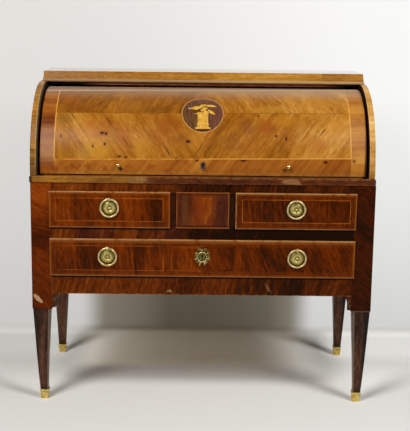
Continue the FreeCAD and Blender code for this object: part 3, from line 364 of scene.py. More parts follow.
post_veneer, x, y, z = new_finish("post_veneer", Specular_IOR_Level=0.05)
right = x.rise(-0.05, 0.05)
slant = z + x * 0.55 + y * 0.4 + point(x * 9, y * 9, z * 7).noise(2).stray(0.09)
grain = woodgrain(x + y, slant, 14.0, 0.02)
# Painted light and shade: the left post is laid lighter, most near its top, and the right post darker.
painted_light = 0.02 + z.rise(0.6, 0.7) * 0.33 + z.near(0.43, 0.08, 0.12) * 0.06
dark_flame = (z - 0.555 - (x + 0.53) * 0.6).within(0.032, 0.05) * 0.12
tone = tone_of(grain, 0.5, 0.45, 0.2) + (painted_light - 0.08 - dark_flame) * (1 - right) - right * 0.33
tone = tone + z.rise(0.64, 0.72) * right * 0.09 - z.rise(0.44, 0.38) * (1 - right) * 0.06
tint = tone.shades((0.1, "220b00"), (0.35, "451700"), (0.55, "632502"), (0.78, "833907"), (0.98, "a04d10"))
swirl = point(x * 30, y * 30, slant * 160).noise(3)
tint = tint.over("2a0c04", swirl.rise(0.6, 0.72) * 0.5)
chip_edge = grit((x, z, 1.0), 220, 3).stray(0.006)
chip_place = point(x + chip_edge, z + chip_edge, 0.0)
chip = reach(chip_place, (-0.5412, 0.3570), (0.0205, 0.0072), -47).rise(1.1, 0.85) * y.rise(-0.255, -0.262)
bare = grit((x, z, 5.0), 260, 3).shades((0.3, "7a5a38"), (0.5, "a5835a"), (0.7, "c4a47c"))
tint = chip.mix(tint, bare)
bruise = reach(point(x, z, 0.0), (-0.4955, 0.717), (0.0026, 0.0050)).rise(1.3, 0.6)
tint = tint.over("1a0904", bruise * 0.7)
arris = abs(x).rise(0.5562, 0.5590) * (0.4 + grit((z, 1.0, 1.0), 30, 2).rise(0.35, 0.6) * 0.5)
tint = tint.over("1a0904", arris)
tint = tint.over("8a6850", z.rise(0.327, 0.3225) * right * 0.5)
lay(post_veneer, tint, 0.33 + grain[1].stray(0.25) + chip * 0.4, grain[2] - chip * 3, 0.00018)
dress(post_veneer, *[f"{at}_post" for at in corners])

# Front rails: the apron, the rail between the drawers and the one above them, tenoned into the posts and
# veneered across the grain in short lengths. They are laid darker to the right as painted shade, the middle rail
# most. The apron is scuffed in two places.
ROW_UP, CENTRE_LINE = 0.659, 0.0842

rail_veneer, x, y, z = new_finish("rail_veneer", Specular_IOR_Level=0.05)
right = x.rise(-0.25, 0.3)
middle_rail = z.near(0.5805, 0.026, 0.002)
upper_rail = z.rise(0.7, 0.705)
grain = woodgrain(z + x * 0.25, x - z * 0.25, 31.0, 0.02)
length = (x / 0.17 + upper_rail * 0.4 + middle_rail * 0.7).floor()
leaf = (length + upper_rail * 40 + middle_rail * 20).chance()
# Painted shade: the rails are laid darker to the right, the middle rail most on its right, under the drawers.
tone = tone_of(grain, 0.7, 0.55, 0.2) + leaf.stray(0.14) + 0.03 - right * 0.19
tone = tone - middle_rail * right * 0.32 + upper_rail * (1 - right) * 0.06 - upper_rail * right * 0.05
tone = tone - middle_rail * 0.06 - upper_rail * x.within(0.13, 0.08) * 0.16
tint = tone.shades((0.08, "160700"), (0.3, "361300"), (0.5, "562202"), (0.7, "723408"), (0.95, "985318"))
plum = (x.near(-0.36, 0.05, 0.04) + x.near(-0.12, 0.05, 0.04)) * middle_rail
tint = tint.over("2c1216", plum * 0.25)
# Painted shade: the recessed dividers between the upper drawers are laid almost black.
divider_shade = (abs(x) - 0.0971).within(0.0094, 0.001) * z.near(ROW_UP, 0.056, 0.002)
tint = tint.over("120805", divider_shade * 0.75)
# Painted shadows: dark lines on the rails just under the laps of the drawer fronts.
shadow_under_upper = z.near(0.5960, 0.0030, 0.0014) * abs(x).rise(0.104, 0.108)
shadow_under_long = z.near(0.4340, 0.0030, 0.0014)
shadow_under_drawers = shadow_under_upper.most(shadow_under_long) * abs(x).rise(0.501, 0.498)
tint = tint.over("100603", shadow_under_drawers * 0.8)
ragged = grit((x, z, 4.0), 90, 3).stray(0.012)
place = point(x + ragged, z + ragged, 0.0)
scuff = reach(place, (-0.106, 0.3865), (0.0095, 0.0046)).rise(1.2, 0.5)
scratch = reach(place, (0.2185, 0.4000), (0.021, 0.0042), -62).rise(1.3, 0.3)
marks = scuff * 0.5 + scratch * 0.24
tint = tint.over("a98258", marks)
lower_edge = z.rise(0.3785, 0.376) * z.rise(0.3742, 0.3752) * grit((x, 0.0, 2.0), 40).rise(0.4, 0.65)
tint = tint.over("a5682c", lower_edge * 0.55)
upright_line = x.near(-0.4935, 0.0008, 0.0008) * z.rise(0.432, 0.428)
upright_line = upright_line * grit((z, 1.0, 2.0), 60).rise(0.35, 0.5)
tint = tint.over("a07040", upright_line * 0.45)
from_row = abs(z - ROW_UP)
over_centre = abs(x).rise(0.0884, 0.0876) * from_row.near(0.0566, 0.0034, 0.0006)
centre_tint = tone_of(grain, 0.5, 0.5, 0.2).shades((0.2, "3a1a0c"), (0.5, "552814"), (0.8, "6e3a1c"))
tint = over_centre.mix(tint, centre_tint)
level_line = from_row.near(0.0581, 0.0010, 0.0008) * abs(x).rise(0.085, 0.084)
tint = tint.over("a8642c", over_centre * level_line * 0.6)
tint = tint.over("a8642c", over_centre * (abs(x) - CENTRE_LINE).within(0.0010, 0.0008) * 0.6)
lay(rail_veneer, tint, 0.35 + grain[1].stray(0.25) + marks * 0.3, grain[2] - marks, 0.00018)
dress(rail_veneer, "apron_rail", "middle_rail_board", "upper_rail", "drawer_dividers")

bracket_wood, x, y, z = new_finish("bracket_wood", Specular_IOR_Level=0.1)
grain = woodgrain(z, x + y, 44.0, 0.006)
nicks = grit((x, y, z), 130, 3).rise(0.58, 0.68) * z.rise(0.368, 0.350)
tint = tone_of(grain).shades((0.15, "1c0b05"), (0.5, "371a0c"), (0.85, "53301a"))
tint = tint.over("8a6c54", nicks * 0.6)
lay(bracket_wood, tint, 0.5 + grain[1].stray(0.3), grain[2] - nicks, 0.0003)
dress(bracket_wood, "corner_brackets")

# Side and back: the sides are framed panels, quartered in the same red-brown veneer inside a banding and
# a light string; the backs are plain boards, left rough and dusty as nobody sees them.
STRING, STRING_HALF = "c07a2c", 0.0013


def past_frame(across, up, low, high):
    """How far a place is outside a rectangle: the larger of its distances past the sides."""
    middle = [(a + b) / 2 for a, b in zip(low, high)]
    size = [(b - a) / 2 for a, b in zip(low, high)]
    return (abs(across - middle[0]) - size[0]).most(abs(up - middle[1]) - size[1])


def frame_line(across, up, low, high, half):
    """How far a place is outside a rectangle, and a string let in along its sides, worn thin in places."""
    past = past_frame(across, up, low, high)
    thin = grit((across, up, 8.0), 45, 3).rise(0.28, 0.5)
    return past, past.within(half, half * 0.8) * (0.35 + thin * 0.65)


SIDE_BAND = np.array([0.045, 0.04])
side_low, side_high = np.array(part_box("left_side_panel"))[:, 1:]
side_veneer, x, y, z = new_finish("side_veneer", Specular_IOR_Level=0.12)
off_y, off_z = [abs(part - middle) for part, middle in zip((y, z), (side_low + side_high) / 2)]
past, line = frame_line(y, z, side_low + SIDE_BAND, side_high - SIDE_BAND, STRING_HALF)
field_grain = woodgrain(off_y * 0.6 + off_z * 0.8, off_y * 0.8 - off_z * 0.6, 50.0, 0.02)
band_grain = woodgrain(y - z, y + z, 57.0, 0.01)
inside = past.rise(0.0004, -0.0004)
tone = tone_of(field_grain) * inside + (tone_of(band_grain) + 0.1) * (1 - inside) + 0.02
tint = tone.shades((0.12, "2b0d04"), (0.38, "511c08"), (0.58, "6d2e0d"), (0.85, "8f4716"))
tint = line.mix(tint, STRING)
lay(side_veneer, tint, 0.34 + field_grain[1].stray(0.25), field_grain[2], 0.00018)
dress(side_veneer, "left_side_panel", "right_side_panel")

back_boards, x, y, z = new_finish("rough_backs", Specular_IOR_Level=0.25)
PLANK = 0.182
run = x / PLANK + 0.5
plank = run.floor()
seam = abs(run - plank - 0.5).rise(0.4925, 0.497)
grain = woodgrain(z, x, plank.chance() * 20, 0.015)
saw = point(x * 4, z * 330, 3.0).noise(2)
tone = tone_of(grain, 0.8, 0.5, 0.3) + plank.chance().stray(0.2) + saw.stray(0.12)
tint = tone.shades((0.15, "4a3018"), (0.45, "735028"), (0.7, "8c6a3c"), (0.95, "a5834f"))
tint = tint.over("1c110a", seam)
lay(back_boards, tint, 0.62 + saw.stray(0.3), grain[1] + saw * 0.5 - seam * 4, 0.0005)
dress(back_boards, "lower_back_panel", "upper_back_panel")

# Inside the case: plain boards of pale oak carry and guide the drawers and the writing slide. They are
# planed but never polished, and their open pores are dark with dust.


def oak_pores(x, y, z):
    """The open pores of oak: thin dashes along y."""
    return point(y * 28, x * 900, z * 900).noise(2).rise(0.62, 0.72)


oak, x, y, z = new_finish("inner_oak", Specular_IOR_Level=0.3)
grain = woodgrain(y + x * 0.04, x + z * 1.1, 71.0, 0.008)
pores = oak_pores(x, y, z)
tone = tone_of(grain, 0.6, 0.6, 0.35)
tint = tone.shades((0.15, "6d4a22"), (0.45, "96703c"), (0.7, "ad8850"), (0.95, "c2a06a"))
tint = tint.over("4d3216", pores * 0.4)
lay(oak, tint, 0.52 + grain[1].stray(0.3), grain[2] - pores, 0.0002)
dress(oak, "dustboard", "drawer_runners", "slide_guides")

# Cheeks: two upright boards at the ends of the cylinder, sawn to its round and veneered. Their front edge
# is banded across with golden wood, laid lighter on the right as painted light, with a painted highlight along its
# inner edge; the inner face is painted near black as the shade of the gap to the cylinder.
AXIS_Y, AXIS_Z = 0.013125, 0.783
CHEEK_ROUND, CHEEK_NOTCH, CHEEK_STEP, CHEEK_EASE = 0.27, 0.767, -0.247875, 0.0012


def cheek_outline(draw_in):
    """The cheek's outline in y and z, drawn in from its edge.

    Straight sides at the foot, back and top, then a quarter circle about the cylinder's axis.
    """
    low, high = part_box("left_cheek")
    turn = np.linspace(np.pi / 2, np.pi, 49)
    radius = CHEEK_ROUND - draw_in
    round_edge = np.stack([AXIS_Y + radius * np.cos(turn), AXIS_Z + radius * np.sin(turn)], axis=-1)
    straight = np.array([
        (low[1] + draw_in, CHEEK_NOTCH + draw_in), (CHEEK_STEP + draw_in, CHEEK_NOTCH + draw_in),
        (CHEEK_STEP + draw_in, low[2] + draw_in), (high[1] - draw_in, low[2] + draw_in),
        (high[1] - draw_in, high[2] - draw_in),
    ])
    return np.concatenate([round_edge, straight])


cheek_veneer, x, y, z = new_finish("cheek_veneer", Specular_IOR_Level=0.12)
out = AXIS_Y - y
up = z - AXIS_Z
radius = (out * out + up * up).math("SQRT")
round_angle = up.math("ARCTAN2", out)
right = x.rise(-0.05, 0.05)
front_edge = (radius.rise(0.2683, 0.2694) * out.rise(-0.002, 0.002) + out.rise(0.2545, 0.2562)).least(1)
band_grain = woodgrain(x, round_angle * CHEEK_ROUND, 83.0, 0.004)
panel_grain = woodgrain(y * 0.7 + z * 0.7, y * 0.7 - z * 0.7, 87.0, 0.02)
# Painted light: the right cheek's band is laid lighter.
band_tone = tone_of(band_grain, 0.8, 0.5, 0.2) + right * 0.34 - 0.05 - round_angle.rise(0.35, 0.0) * 0.2
band_tint = band_tone.shades((0.1, "55330f"), (0.35, "86561a"), (0.6, "aa772e"), (0.85, "c8964a"), (1.0, "dcb678"))
panel_tint = tone_of(panel_grain).shades((0.12, "4a1c07"), (0.4, "76380f"), (0.62, "94521a"), (0.9, "b2722c"))
tint = front_edge.mix(panel_tint, band_tint)
inward = abs(x) + right * 0.0045
# Painted highlight: a pale line along the inner edge of the front band.
inner_rim_highlight = front_edge * inward.rise(0.5455, 0.5440)
tint = tint.over("e0bd8c", inner_rim_highlight * 0.5)
crumbs = point(x * 60, y * 120, z * 120).noise(3).rise(0.5, 0.6)
crumbs = front_edge * (1 - right) * abs(x).rise(0.5575, 0.5600) * crumbs
tint = tint.over("3a2410", crumbs * 0.8)
foot = front_edge * z.rise(0.81, 0.775) * (1 - right)
tint = tint.over("6b4a26", foot * 0.7)
# Painted shade: the inner face, in the gap to the cylinder, is laid near black.
inner_face_shade = inward.rise(0.5436, 0.5429)
tint = tint.over("140a05", inner_face_shade * 0.9)
lay(cheek_veneer, tint, 0.36 + band_grain[1].stray(0.3), panel_grain[2] - crumbs, 0.0002)

for side, inner, outer in (("left", -0.5380, -0.5617), ("right", 0.5380, 0.5572)):
    ease = math.copysign(CHEEK_EASE, inner)
    cheek_x = np.array([inner, inner + ease, outer - ease, outer])
    outlines = np.stack([cheek_outline(draw_in) for draw_in in (CHEEK_EASE, 0.0, 0.0, CHEEK_EASE)])
    mesh = skin(f"{side}_round_cheek", stack(outlines, cheek_x)[:, :, [2, 0, 1]])
    fit(mesh, cheek_veneer, "carcass", "carcass_veneer", f"{side}_cheek")

# Top: a veneered board over the back half, finished along its front by a leaning band of golden veneer
# over a small half-round bead, and a thin reddish rail under it that hides the open cylinder's edge.
top_low, top_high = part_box("top_moulding")
BEAD, BEAD_Y, BEAD_UP = 0.0055, 0.037125, 1.0550
lean = np.array([(0.0369, 1.0606), (0.0374, 1.0614), (0.0458, 1.0852), (0.0464, 1.0863), (0.0476, 1.0867)])
bead_turn = np.linspace(-np.pi / 2, np.pi / 2, 13)
bead = np.stack([BEAD_Y - BEAD * np.cos(bead_turn), BEAD_UP + BEAD * np.sin(bead_turn)], axis=-1)
hidden = np.array([(0.0510, 1.0863), (top_high[1], top_high[2]), (top_high[1], top_low[2])])
moulding = np.concatenate([bead, lean, hidden])
mitre = top_high[0] - 0.2 * np.minimum(moulding[:, 0] - moulding[:, 0].min(), 0.015)
moulding_rings = np.stack([np.column_stack([sign * mitre, moulding]) for sign in (-1, 1)])

top_veneer, x, y, z = new_finish("top_veneer", Specular_IOR_Level=0.15)
right = x.rise(-0.4, 0.4)
run = x / 0.19 + z * 1.7
length = run.floor()
grain = woodgrain(x + z * 0.4, z * 2 + y * 0.7, length.chance() * 9, 0.004)
slanted = woodgrain(x * 0.8 + z * 2, x * 0.3 - z, 96.0, 0.01)
# Painted light: the band is laid lighter to the right.
tone = tone_of(grain, 0.5, 0.6, 0.2) + slanted[0].stray(0.5) + length.chance().stray(0.16) + right * 0.13
tint = tone.shades((0.12, "683a08"), (0.4, "8a560f"), (0.62, "a6711f"), (0.9, "c29044"))
on_bead = z.rise(1.0612, 1.0602) * y.rise(0.05, 0.045)
tint = tint.over(right.mix("9a8060", "b09468"), on_bead * 0.7)
seams = abs(run - length - 0.5).rise(0.494, 0.499) * z.rise(1.060, 1.062)
tint = tint.over("5a3410", seams * 0.35)
nick = reach(point(x, z, 0.0), (-0.152, 1.0775), (0.006, 0.0035), 20).rise(1.3, 0.5)
tint = tint.over("8a4420", nick * 0.7)
lay(top_veneer, tint, 0.32 + grain[1].stray(0.3), grain[2], 0.00015)
fit(skin("leaning_moulding", moulding_rings), top_veneer, "carcass", "carcass_veneer", "top_moulding")

polished_top, x, y, z = new_finish("polished_top", Specular_IOR_Level=0.5, Coat_Roughness=0.06)
grain = woodgrain(x, y, 100.0, 0.012)
past, line = frame_line(x, y, (-0.515, 0.08), (0.515, 0.262), STRING_HALF)
border = woodgrain(y, x, 101.0, 0.01)
inside = past.rise(0.0004, -0.0004)
tone = tone_of(grain) * inside + tone_of(border) * (1 - inside)
tint = tone.shades((0.12, "6a3c12"), (0.42, "93601f"), (0.65, "ad7c34"), (0.92, "c89c58")).over(STRING, line)
lay(polished_top, tint, 0.16 + grain[1].stray(0.15), grain[2], 0.00003)
feed(polished_top, Coat_Weight=z.rise(1.0838, 1.0846) * 0.8)
dress(polished_top, "top_board_panel")

rail_red, x, y, z = new_finish("red_rail", Specular_IOR_Level=0.1)
grain = woodgrain(x, z + y, 103.0, 0.004)
tint = tone_of(grain).shades((0.15, "542612"), (0.5, "925432"), (0.85, "b67c54"))
# Painted shade: the rail's ends, deep in the gap by the cheeks, are laid near black.
tint = tint.over("0c0504", abs(x - 0.03).rise(0.36, 0.47))
lay(rail_red, tint, 0.4 + grain[1].stray(0.3), grain[2], 0.00015)
dress(rail_red, "top_under_rail")

# Fitment: a nest of thin boards behind the writing slide, with pigeonholes over two small drawers. It is
# of fine-grained pale wood, oiled, and a little darker along its front edges where hands go.
fitment_wood, x, y, z = new_finish("fitment_wood", Specular_IOR_Level=0.4, Coat_Weight=0.08, Coat_Roughness=0.2)
grain = woodgrain(x, y + z * 1.2, 120.0, 0.01)
handled = y.rise(0.02, 0.004)
tone = tone_of(grain, 0.7, 0.5, 0.2) - handled * 0.15
tint = tone.shades((0.15, "6a3c14"), (0.45, "93602a"), (0.7, "aa7a3e"), (0.95, "c19658"))
lay(fitment_wood, tint, 0.4 + grain[1].stray(0.25), grain[2], 0.00015)
dress(fitment_wood, "fitment_boards", "fitment_uprights")

SMALL_BAND = np.array([0.012, 0.011])
small_veneer, x, y, z = new_finish(
    "small_drawer_veneer", Specular_IOR_Level=0.4, Coat_Weight=0.1, Coat_Roughness=0.15
)
small_low, small_high = np.array(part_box("right_small_drawer"))[:, [0, 2]]
grain = woodgrain(z, abs(x), 127.0, 0.012)
_, line = frame_line(abs(x), z, small_low + SMALL_BAND, small_high - SMALL_BAND, 0.0009)
on_front = y.rise(0.0045, 0.0035)
front_tint = line.mix(tone_of(grain).shades((0.12, "57240a"), (0.45, "843f12"), (0.8, "ab6424")), STRING)
box_tint = tone_of(woodgrain(y, x + z, 131.0)).shades((0.15, "7a5528"), (0.5, "a37c45"), (0.85, "bf9c63"))
lay(small_veneer, on_front.mix(box_tint, front_tint), 0.4 + grain[1].stray(0.25), grain[2], 0.00015)
dress(small_veneer, "left_small_drawer", "right_small_drawer")

# Cylinder: a rigid quarter-round of boards, veneered in four book-matched leaves whose grain runs slantwise
# to the middle, inside a crossbanding and a light string. A medallion with a trophy on a fluted column is
# inlaid at the centre. The veneer has knots, seams and a few open cracks.
CYLINDER_R, CYLINDER_IN, CYLINDER_LOW = 0.252, 0.234, 0.7705
cylinder_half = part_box("cylinder_shell")[1][0]
LAST_ANGLE = math.radians(100)

below_axis = CYLINDER_LOW - AXIS_Z
cylinder_path = np.concatenate([[below_axis, below_axis / 2], np.linspace(0, LAST_ANGLE, 101)])
skirt = np.minimum(cylinder_path, 0)
cylinder_turn = np.maximum(cylinder_path, 0)
shell_middle, shell_half = (CYLINDER_R + CYLINDER_IN) / 2, (CYLINDER_R - CYLINDER_IN) / 2
cylinder_section = eased(cylinder_half, shell_half, 0.0012) + (0, shell_middle)
shell_rings = np.empty((len(cylinder_path), len(cylinder_section), 3))
shell_rings[:, :, 0] = cylinder_section[:, 0]
shell_rings[:, :, 1] = AXIS_Y - np.outer(np.cos(cylinder_turn), cylinder_section[:, 1])
shell_rings[:, :, 2] = AXIS_Z + np.outer(np.sin(cylinder_turn), cylinder_section[:, 1]) + skirt[:, None]

STRING_X, STRING_UP, JOINT_UP, STRIP = 0.4853, 0.0405, 0.204, 0.098
LOWER_SLOPE, UPPER_SLOPE = math.radians(56), math.radians(67)

cylinder_veneer, x, y, z = new_finish("cylinder_veneer", Specular_IOR_Level=0.08)
out = AXIS_Y - y
up = z - AXIS_Z
arc = up.math("ARCTAN2", out) * CYLINDER_R
from_joint = arc - JOINT_UP - x * 0.008
above_string = arc - STRING_UP - x * 0.0115
above = from_joint.rise(-0.0004, 0.0004)
right = x.rise(-0.0004, 0.0004)
quarter = above * 2 + right
spread, rise_off = abs(x), abs(from_joint)
sine = math.sin(LOWER_SLOPE) + above * (math.sin(UPPER_SLOPE) - math.sin(LOWER_SLOPE))
cosine = math.cos(LOWER_SLOPE) + above * (math.cos(UPPER_SLOPE) - math.cos(LOWER_SLOPE))
along = rise_off * sine - spread * cosine
straight = spread * sine + rise_off * cosine
across = straight + point(along * 11, straight * 16, quarter * 3.0).noise(2).stray(0.011)
matched = woodgrain(along, across, 140.0, 0.016, flecked=False)
own = woodgrain(along, across, quarter * 11.0 + 150.0, 0.02, flecked=False)
flecks = point(along * 45, across * 130, quarter * 5.0).noise(3, 0.6)
mottle = point(along * 18, across * 30, quarter * 7.0).noise(3, 0.6)
over_strips = (across + quarter * 0.043) / STRIP
strip = over_strips.floor()
strip_edge = abs(over_strips - strip - 0.5)
leaf = (strip + quarter * 17.0).chance()
tone = 0.5 + matched[0].stray(0.2) + own[0].stray(0.4) + own[1].stray(0.5) + flecks.stray(0.6)
tone = tone + leaf.stray(0.14) + mottle.stray(0.46) + 0.03
# Painted light and shade: the upper left leaf is laid darker and the upper right one a little lighter.
tone = tone - above * (1 - right) * 0.16 + above * right * 0.03
tone = tone + (1 - above) * x.near(-0.44, 0.1, 0.1) * 0.08
tone = tone + x.near(0.4, 0.13, 0.13) * 0.18 - x.near(0.2, 0.12, 0.12) * (1 - above) * 0.06
leaf_tint = tone.shades((0.05, "582c06"), (0.28, "7a460b"), (0.5, "945a14"), (0.7, "aa7226"), (0.95, "c49144"))

# Patches of other colour in the leaves, each at a place across and up the curve, with its two radii.
PATCHES = [
    (-0.339, 0.071, 0.045, 0.034, "b47e1d", 0.60), (-0.371, 0.141, 0.040, 0.040, "a45f14", 0.45),
    (-0.452, 0.179, 0.034, 0.024, "734c16", 0.55), (-0.269, 0.118, 0.026, 0.045, "944a0e", 0.50),
    (-0.205, 0.080, 0.040, 0.036, "ab711d", 0.50), (-0.113, 0.157, 0.040, 0.034, "85410e", 0.55),
    (-0.138, 0.115, 0.028, 0.040, "8c480e", 0.45), (-0.026, 0.101, 0.034, 0.040, "a9701f", 0.50),
    (-0.319, 0.154, 0.032, 0.026, "924d10", 0.45), (-0.160, 0.217, 0.050, 0.018, "653d10", 0.50),
    (-0.248, 0.232, 0.050, 0.028, "956120", 0.45), (-0.430, 0.229, 0.030, 0.028, "7c3f10", 0.50),
    (-0.450, 0.272, 0.040, 0.028, "904c14", 0.50), (0.224, 0.222, 0.050, 0.018, "ab7c29", 0.45),
    (0.383, 0.268, 0.060, 0.030, "af7020", 0.50), (0.1525, 0.153, 0.030, 0.032, "773d1b", 0.60),
    (0.2065, 0.154, 0.026, 0.036, "894110", 0.60), (0.261, 0.173, 0.034, 0.026, "ab6e1d", 0.55),
    (0.375, 0.090, 0.034, 0.034, "9b5612", 0.60), (0.106, 0.095, 0.048, 0.030, "794816", 0.50),
    (0.434, 0.140, 0.040, 0.040, "b47928", 0.50), (0.156, 0.080, 0.040, 0.028, "894612", 0.45),
    (-0.388, 0.060, 0.030, 0.022, "a67c36", 0.40), (0.310, 0.135, 0.022, 0.040, "b07a34", 0.40),
]
drift = own[0].stray(0.05) + mottle.stray(0.055)
drifted = point(x + drift, arc + drift * 0.6, 0.0)
for patch_x, patch_up, wide, tall, code, strength in PATCHES:
    held = reach(drifted, (patch_x, patch_up), (wide, tall)).rise(1.35, 0.35)
    leaf_tint = leaf_tint.over(code, held * strength)

# The odd leaf low on the left: paler and steeper in the grain, behind a dark slanting joint.
slant = (x + 0.4774) * 0.7854 + (arc - 0.1609) * 0.6190
odd_leaf = slant.rise(0.0006, -0.0006) * (1 - above) * (x + 0.40).rise(0.0, -0.03)
odd_grain = point(x * 60, arc * 9, 3.0).noise(3)
odd_tint = odd_grain.shades((0.3, "7a4a0e"), (0.5, "9c6416"), (0.7, "b47a22"))
leaf_tint = (odd_leaf * 0.55).mix(leaf_tint, odd_tint)
odd_joint = slant.within(0.0008, 0.0014) * arc.near(0.105, 0.055, 0.03) * x.rise(-0.38, -0.40)
leaf_tint = leaf_tint.over("5e3410", odd_joint * 0.55)
seam = strip_edge.rise(0.486, 0.493) * point(along * 8, strip, quarter).noise(2).rise(0.45, 0.6)
leaf_tint = leaf_tint.over("7a4412", seam * 0.5)
joint = from_joint.within(0.0012, 0.0012) * grit((x, 1.0, 3.0), 14, 2).rise(0.3, 0.5)
leaf_tint = leaf_tint.over("6a3a12", joint * 0.6)

# The crossbanding: short slanting lengths, red in places, hazed pale low down at both ends.
past_string = spread + right * 0.0052 - STRING_X
side_band = past_string.rise(-0.0004, 0.0004)
band_across = x * 0.8 - arc * 0.6
band_along = x * 0.6 + arc * 0.8
band = woodgrain(band_along, band_across, 170.0, 0.012, flecked=False)
side_grain = woodgrain(x + arc * 0.15, arc, 176.0, 0.012, flecked=False)
band_tone = tone_of(band, 0.7, 0.55, 0.15) * (1 - side_band) + tone_of(side_grain, 1.0, 0.5, 0.15) * side_band
band_tone = band_tone + (1 - right) * 0.02 + right * side_band * 0.15 - (1 - right) * side_band * 0.14
band_tint = band_tone.shades(
    (0.1, "54230a"), (0.32, "7f420f"), (0.52, "9a5b1b"), (0.72, "b0742a"), (0.95, "c69044")
)
red = point(x * 30, arc * 40, 6.0).noise(3, 0.6).rise(0.52, 0.64) * (1 - right * 0.5)
band_tint = band_tint.over("7c3410", red * 0.6)
inside = past_string.most(-above_string).rise(0.0004, -0.0004)
tint = inside.mix(band_tint, leaf_tint)

# Knots: dark hearts in a reddish ring, each at a place across and up the curve, with its two radii.
KNOTS = [
    (-0.331, 0.124, 0.0075, 0.0055), (-0.318, 0.122, 0.0055, 0.0060), (-0.321, 0.086, 0.0036, 0.0050),
    (-0.360, 0.079, 0.0032, 0.0040), (-0.273, 0.046, 0.0055, 0.0034), (-0.252, 0.044, 0.0042, 0.0030),
    (-0.050, 0.098, 0.0085, 0.0058), (-0.088, 0.042, 0.0036, 0.0036), (0.237, 0.119, 0.0042, 0.0046),
    (0.2695, 0.110, 0.0034, 0.0085), (0.1315, 0.036, 0.0120, 0.0034), (0.398, 0.034, 0.0075, 0.0055),
    (0.4905, 0.038, 0.0045, 0.0045), (-0.021, 0.036, 0.0050, 0.0032), (-0.465, 0.112, 0.0022, 0.0050),
    (0.181, 0.192, 0.0030, 0.0040), (-0.470, 0.245, 0.0060, 0.0022),
]
wobble = grit((x, arc, 9.0), 120, 2) - 0.5
ragged = point(x + wobble * 0.005, arc + wobble * 0.0035, 0.0)
heart = halo = x * 0
for knot_x, knot_up, wide, tall in KNOTS:
    away = reach(ragged, (knot_x, knot_up), (wide, tall))
    heart = heart.most(away.rise(1.14, 0.6))
    halo = halo.most(away.rise(2.6, 0.9))
tint = tint.over("84420f", halo * 0.5)
tint = tint.over("2c0c05", heart * 0.9)

# Open cracks and bruises: thin slanting lines, each with its middle, slope, half length and half width.
CRACKS = [
    (0.389, 0.1345, 52, 0.0200, 0.0011), (-0.313, 0.172, -57, 0.036, 0.0009), (-0.256, 0.098, -57, 0.022, 0.0007),
    (-0.118, 0.066, -57, 0.020, 0.0014), (-0.012, 0.075, 60, 0.030, 0.0007), (0.248, 0.075, 62, 0.018, 0.0008),
    (-0.302, 0.262, 56, 0.034, 0.0007), (-0.340, 0.250, 56, 0.026, 0.0006), (0.250, 0.262, -50, 0.022, 0.0010),
    (-0.415, 0.165, -57, 0.050, 0.0006), (0.100, 0.140, 58, 0.055, 0.0005), (0.352, 0.150, 56, 0.060, 0.0005),
]
crack = x * 0
for crack_x, crack_up, slope, half_length, half_width in CRACKS:
    away = reach(ragged, (crack_x, crack_up), (half_length, half_width * 1.7), slope)
    crack = crack.most(away.rise(1.3, 0.5))
tint = tint.over("43210a", crack * 0.8)

# The string: a light line 2 to 3 mm wide, partly lost along the lower left.
lost = 1 - (1 - right) * grit((x, 2.0, 5.0), 22, 2).rise(0.42, 0.6) * arc.rise(0.06, 0.05) * 0.75
low_line = above_string.within(0.0013, 0.0012) * past_string.rise(0.001, 0.0)
side_line = past_string.within(0.0019, 0.0012) * above_string.rise(-0.001, 0.0)
side_line = side_line * (0.7 + point(arc * 30, right, 6.0).noise(2).rise(0.35, 0.6) * 0.3)
side_line = side_line * (1 - right * arc.rise(0.2, 0.33) * 0.6)
string = (low_line * lost).most(side_line)
tint = tint.over("d89a40", string * 0.85)

# The medallion: a dark oval ringed by a string, with the column, its base and the trophy in pale wood.
MEDALLION_X, MEDALLION_UP, MEDALLION_WIDE, MEDALLION_TALL = -0.0031, 0.2033, 0.0692, 0.0752
disc_x = (x - MEDALLION_X) / MEDALLION_WIDE
disc_up = (arc - MEDALLION_UP) / MEDALLION_TALL
disc_r = (disc_x * disc_x + disc_up * disc_up).math("SQRT")
ground_grain = point(x * 190, arc * 22, 7.0).noise(3)
ground = ground_grain.shades((0.25, "36200f"), (0.5, "5c3c1e"), (0.75, "765232"))
plum = (x.rise(0.0, 0.035) * 0.8 + grit((x, arc, 3.0), 40, 2).rise(0.48, 0.62) * 0.5).least(1)
ground = ground.over("663a32", plum * 0.6)
ground = ground.over("745449", arc.rise(0.250, 0.270) * 0.4)
tint = disc_r.rise(0.975, 0.955).mix(tint, ground)


def lozenge(place, middle, radii, turn):
    """A leaf-shaped inlay: 1 inside a turned shape whose ends are drawn out to points.

    Its half height falls off along its length as one minus the square of the distance to its middle.
    """
    local = in_oval(place, middle, radii, turn)
    length = local.node("ShaderNodeSeparateXYZ", {0: local})
    height = Field(length.socket.node.outputs[1])
    return (abs(height) + length * length).rise(1.12, 0.88)


def key_slot(across, up, squares, slit_half, slit_off, slit_tall, soft):
    """A keyhole: a round hole about 0, faded between two squares of its radius, over an upright slit."""
    round_hole = (across * across + up * up).rise(*squares)
    return round_hole.most(across.within(slit_half, soft) * (up + slit_off).within(slit_tall, soft))


inlay_x = x + 0.0024
flat = point(inlay_x, arc, 0.0)
column = inlay_x.within(0.0172, 0.001) * arc.near(0.1764, 0.0309, 0.001)
base = (inlay_x.within(0.0258, 0.0012) * arc.near(0.1446, 0.0026, 0.001)).most(
    inlay_x.within(0.0198, 0.001) * arc.near(0.1585, 0.0020, 0.001)
)
slope_base = (abs(inlay_x) - 0.0172 - (0.1515 - arc) * 0.9).rise(0.0008, -0.0004)
slope_base = slope_base * arc.near(0.1475, 0.0045, 0.001)
ledge = inlay_x.near(-0.0226, 0.0052, 0.001) * arc.near(0.2007, 0.0013, 0.001)
cap = inlay_x.within(0.0185, 0.001) * arc.near(0.2055, 0.0022, 0.001)

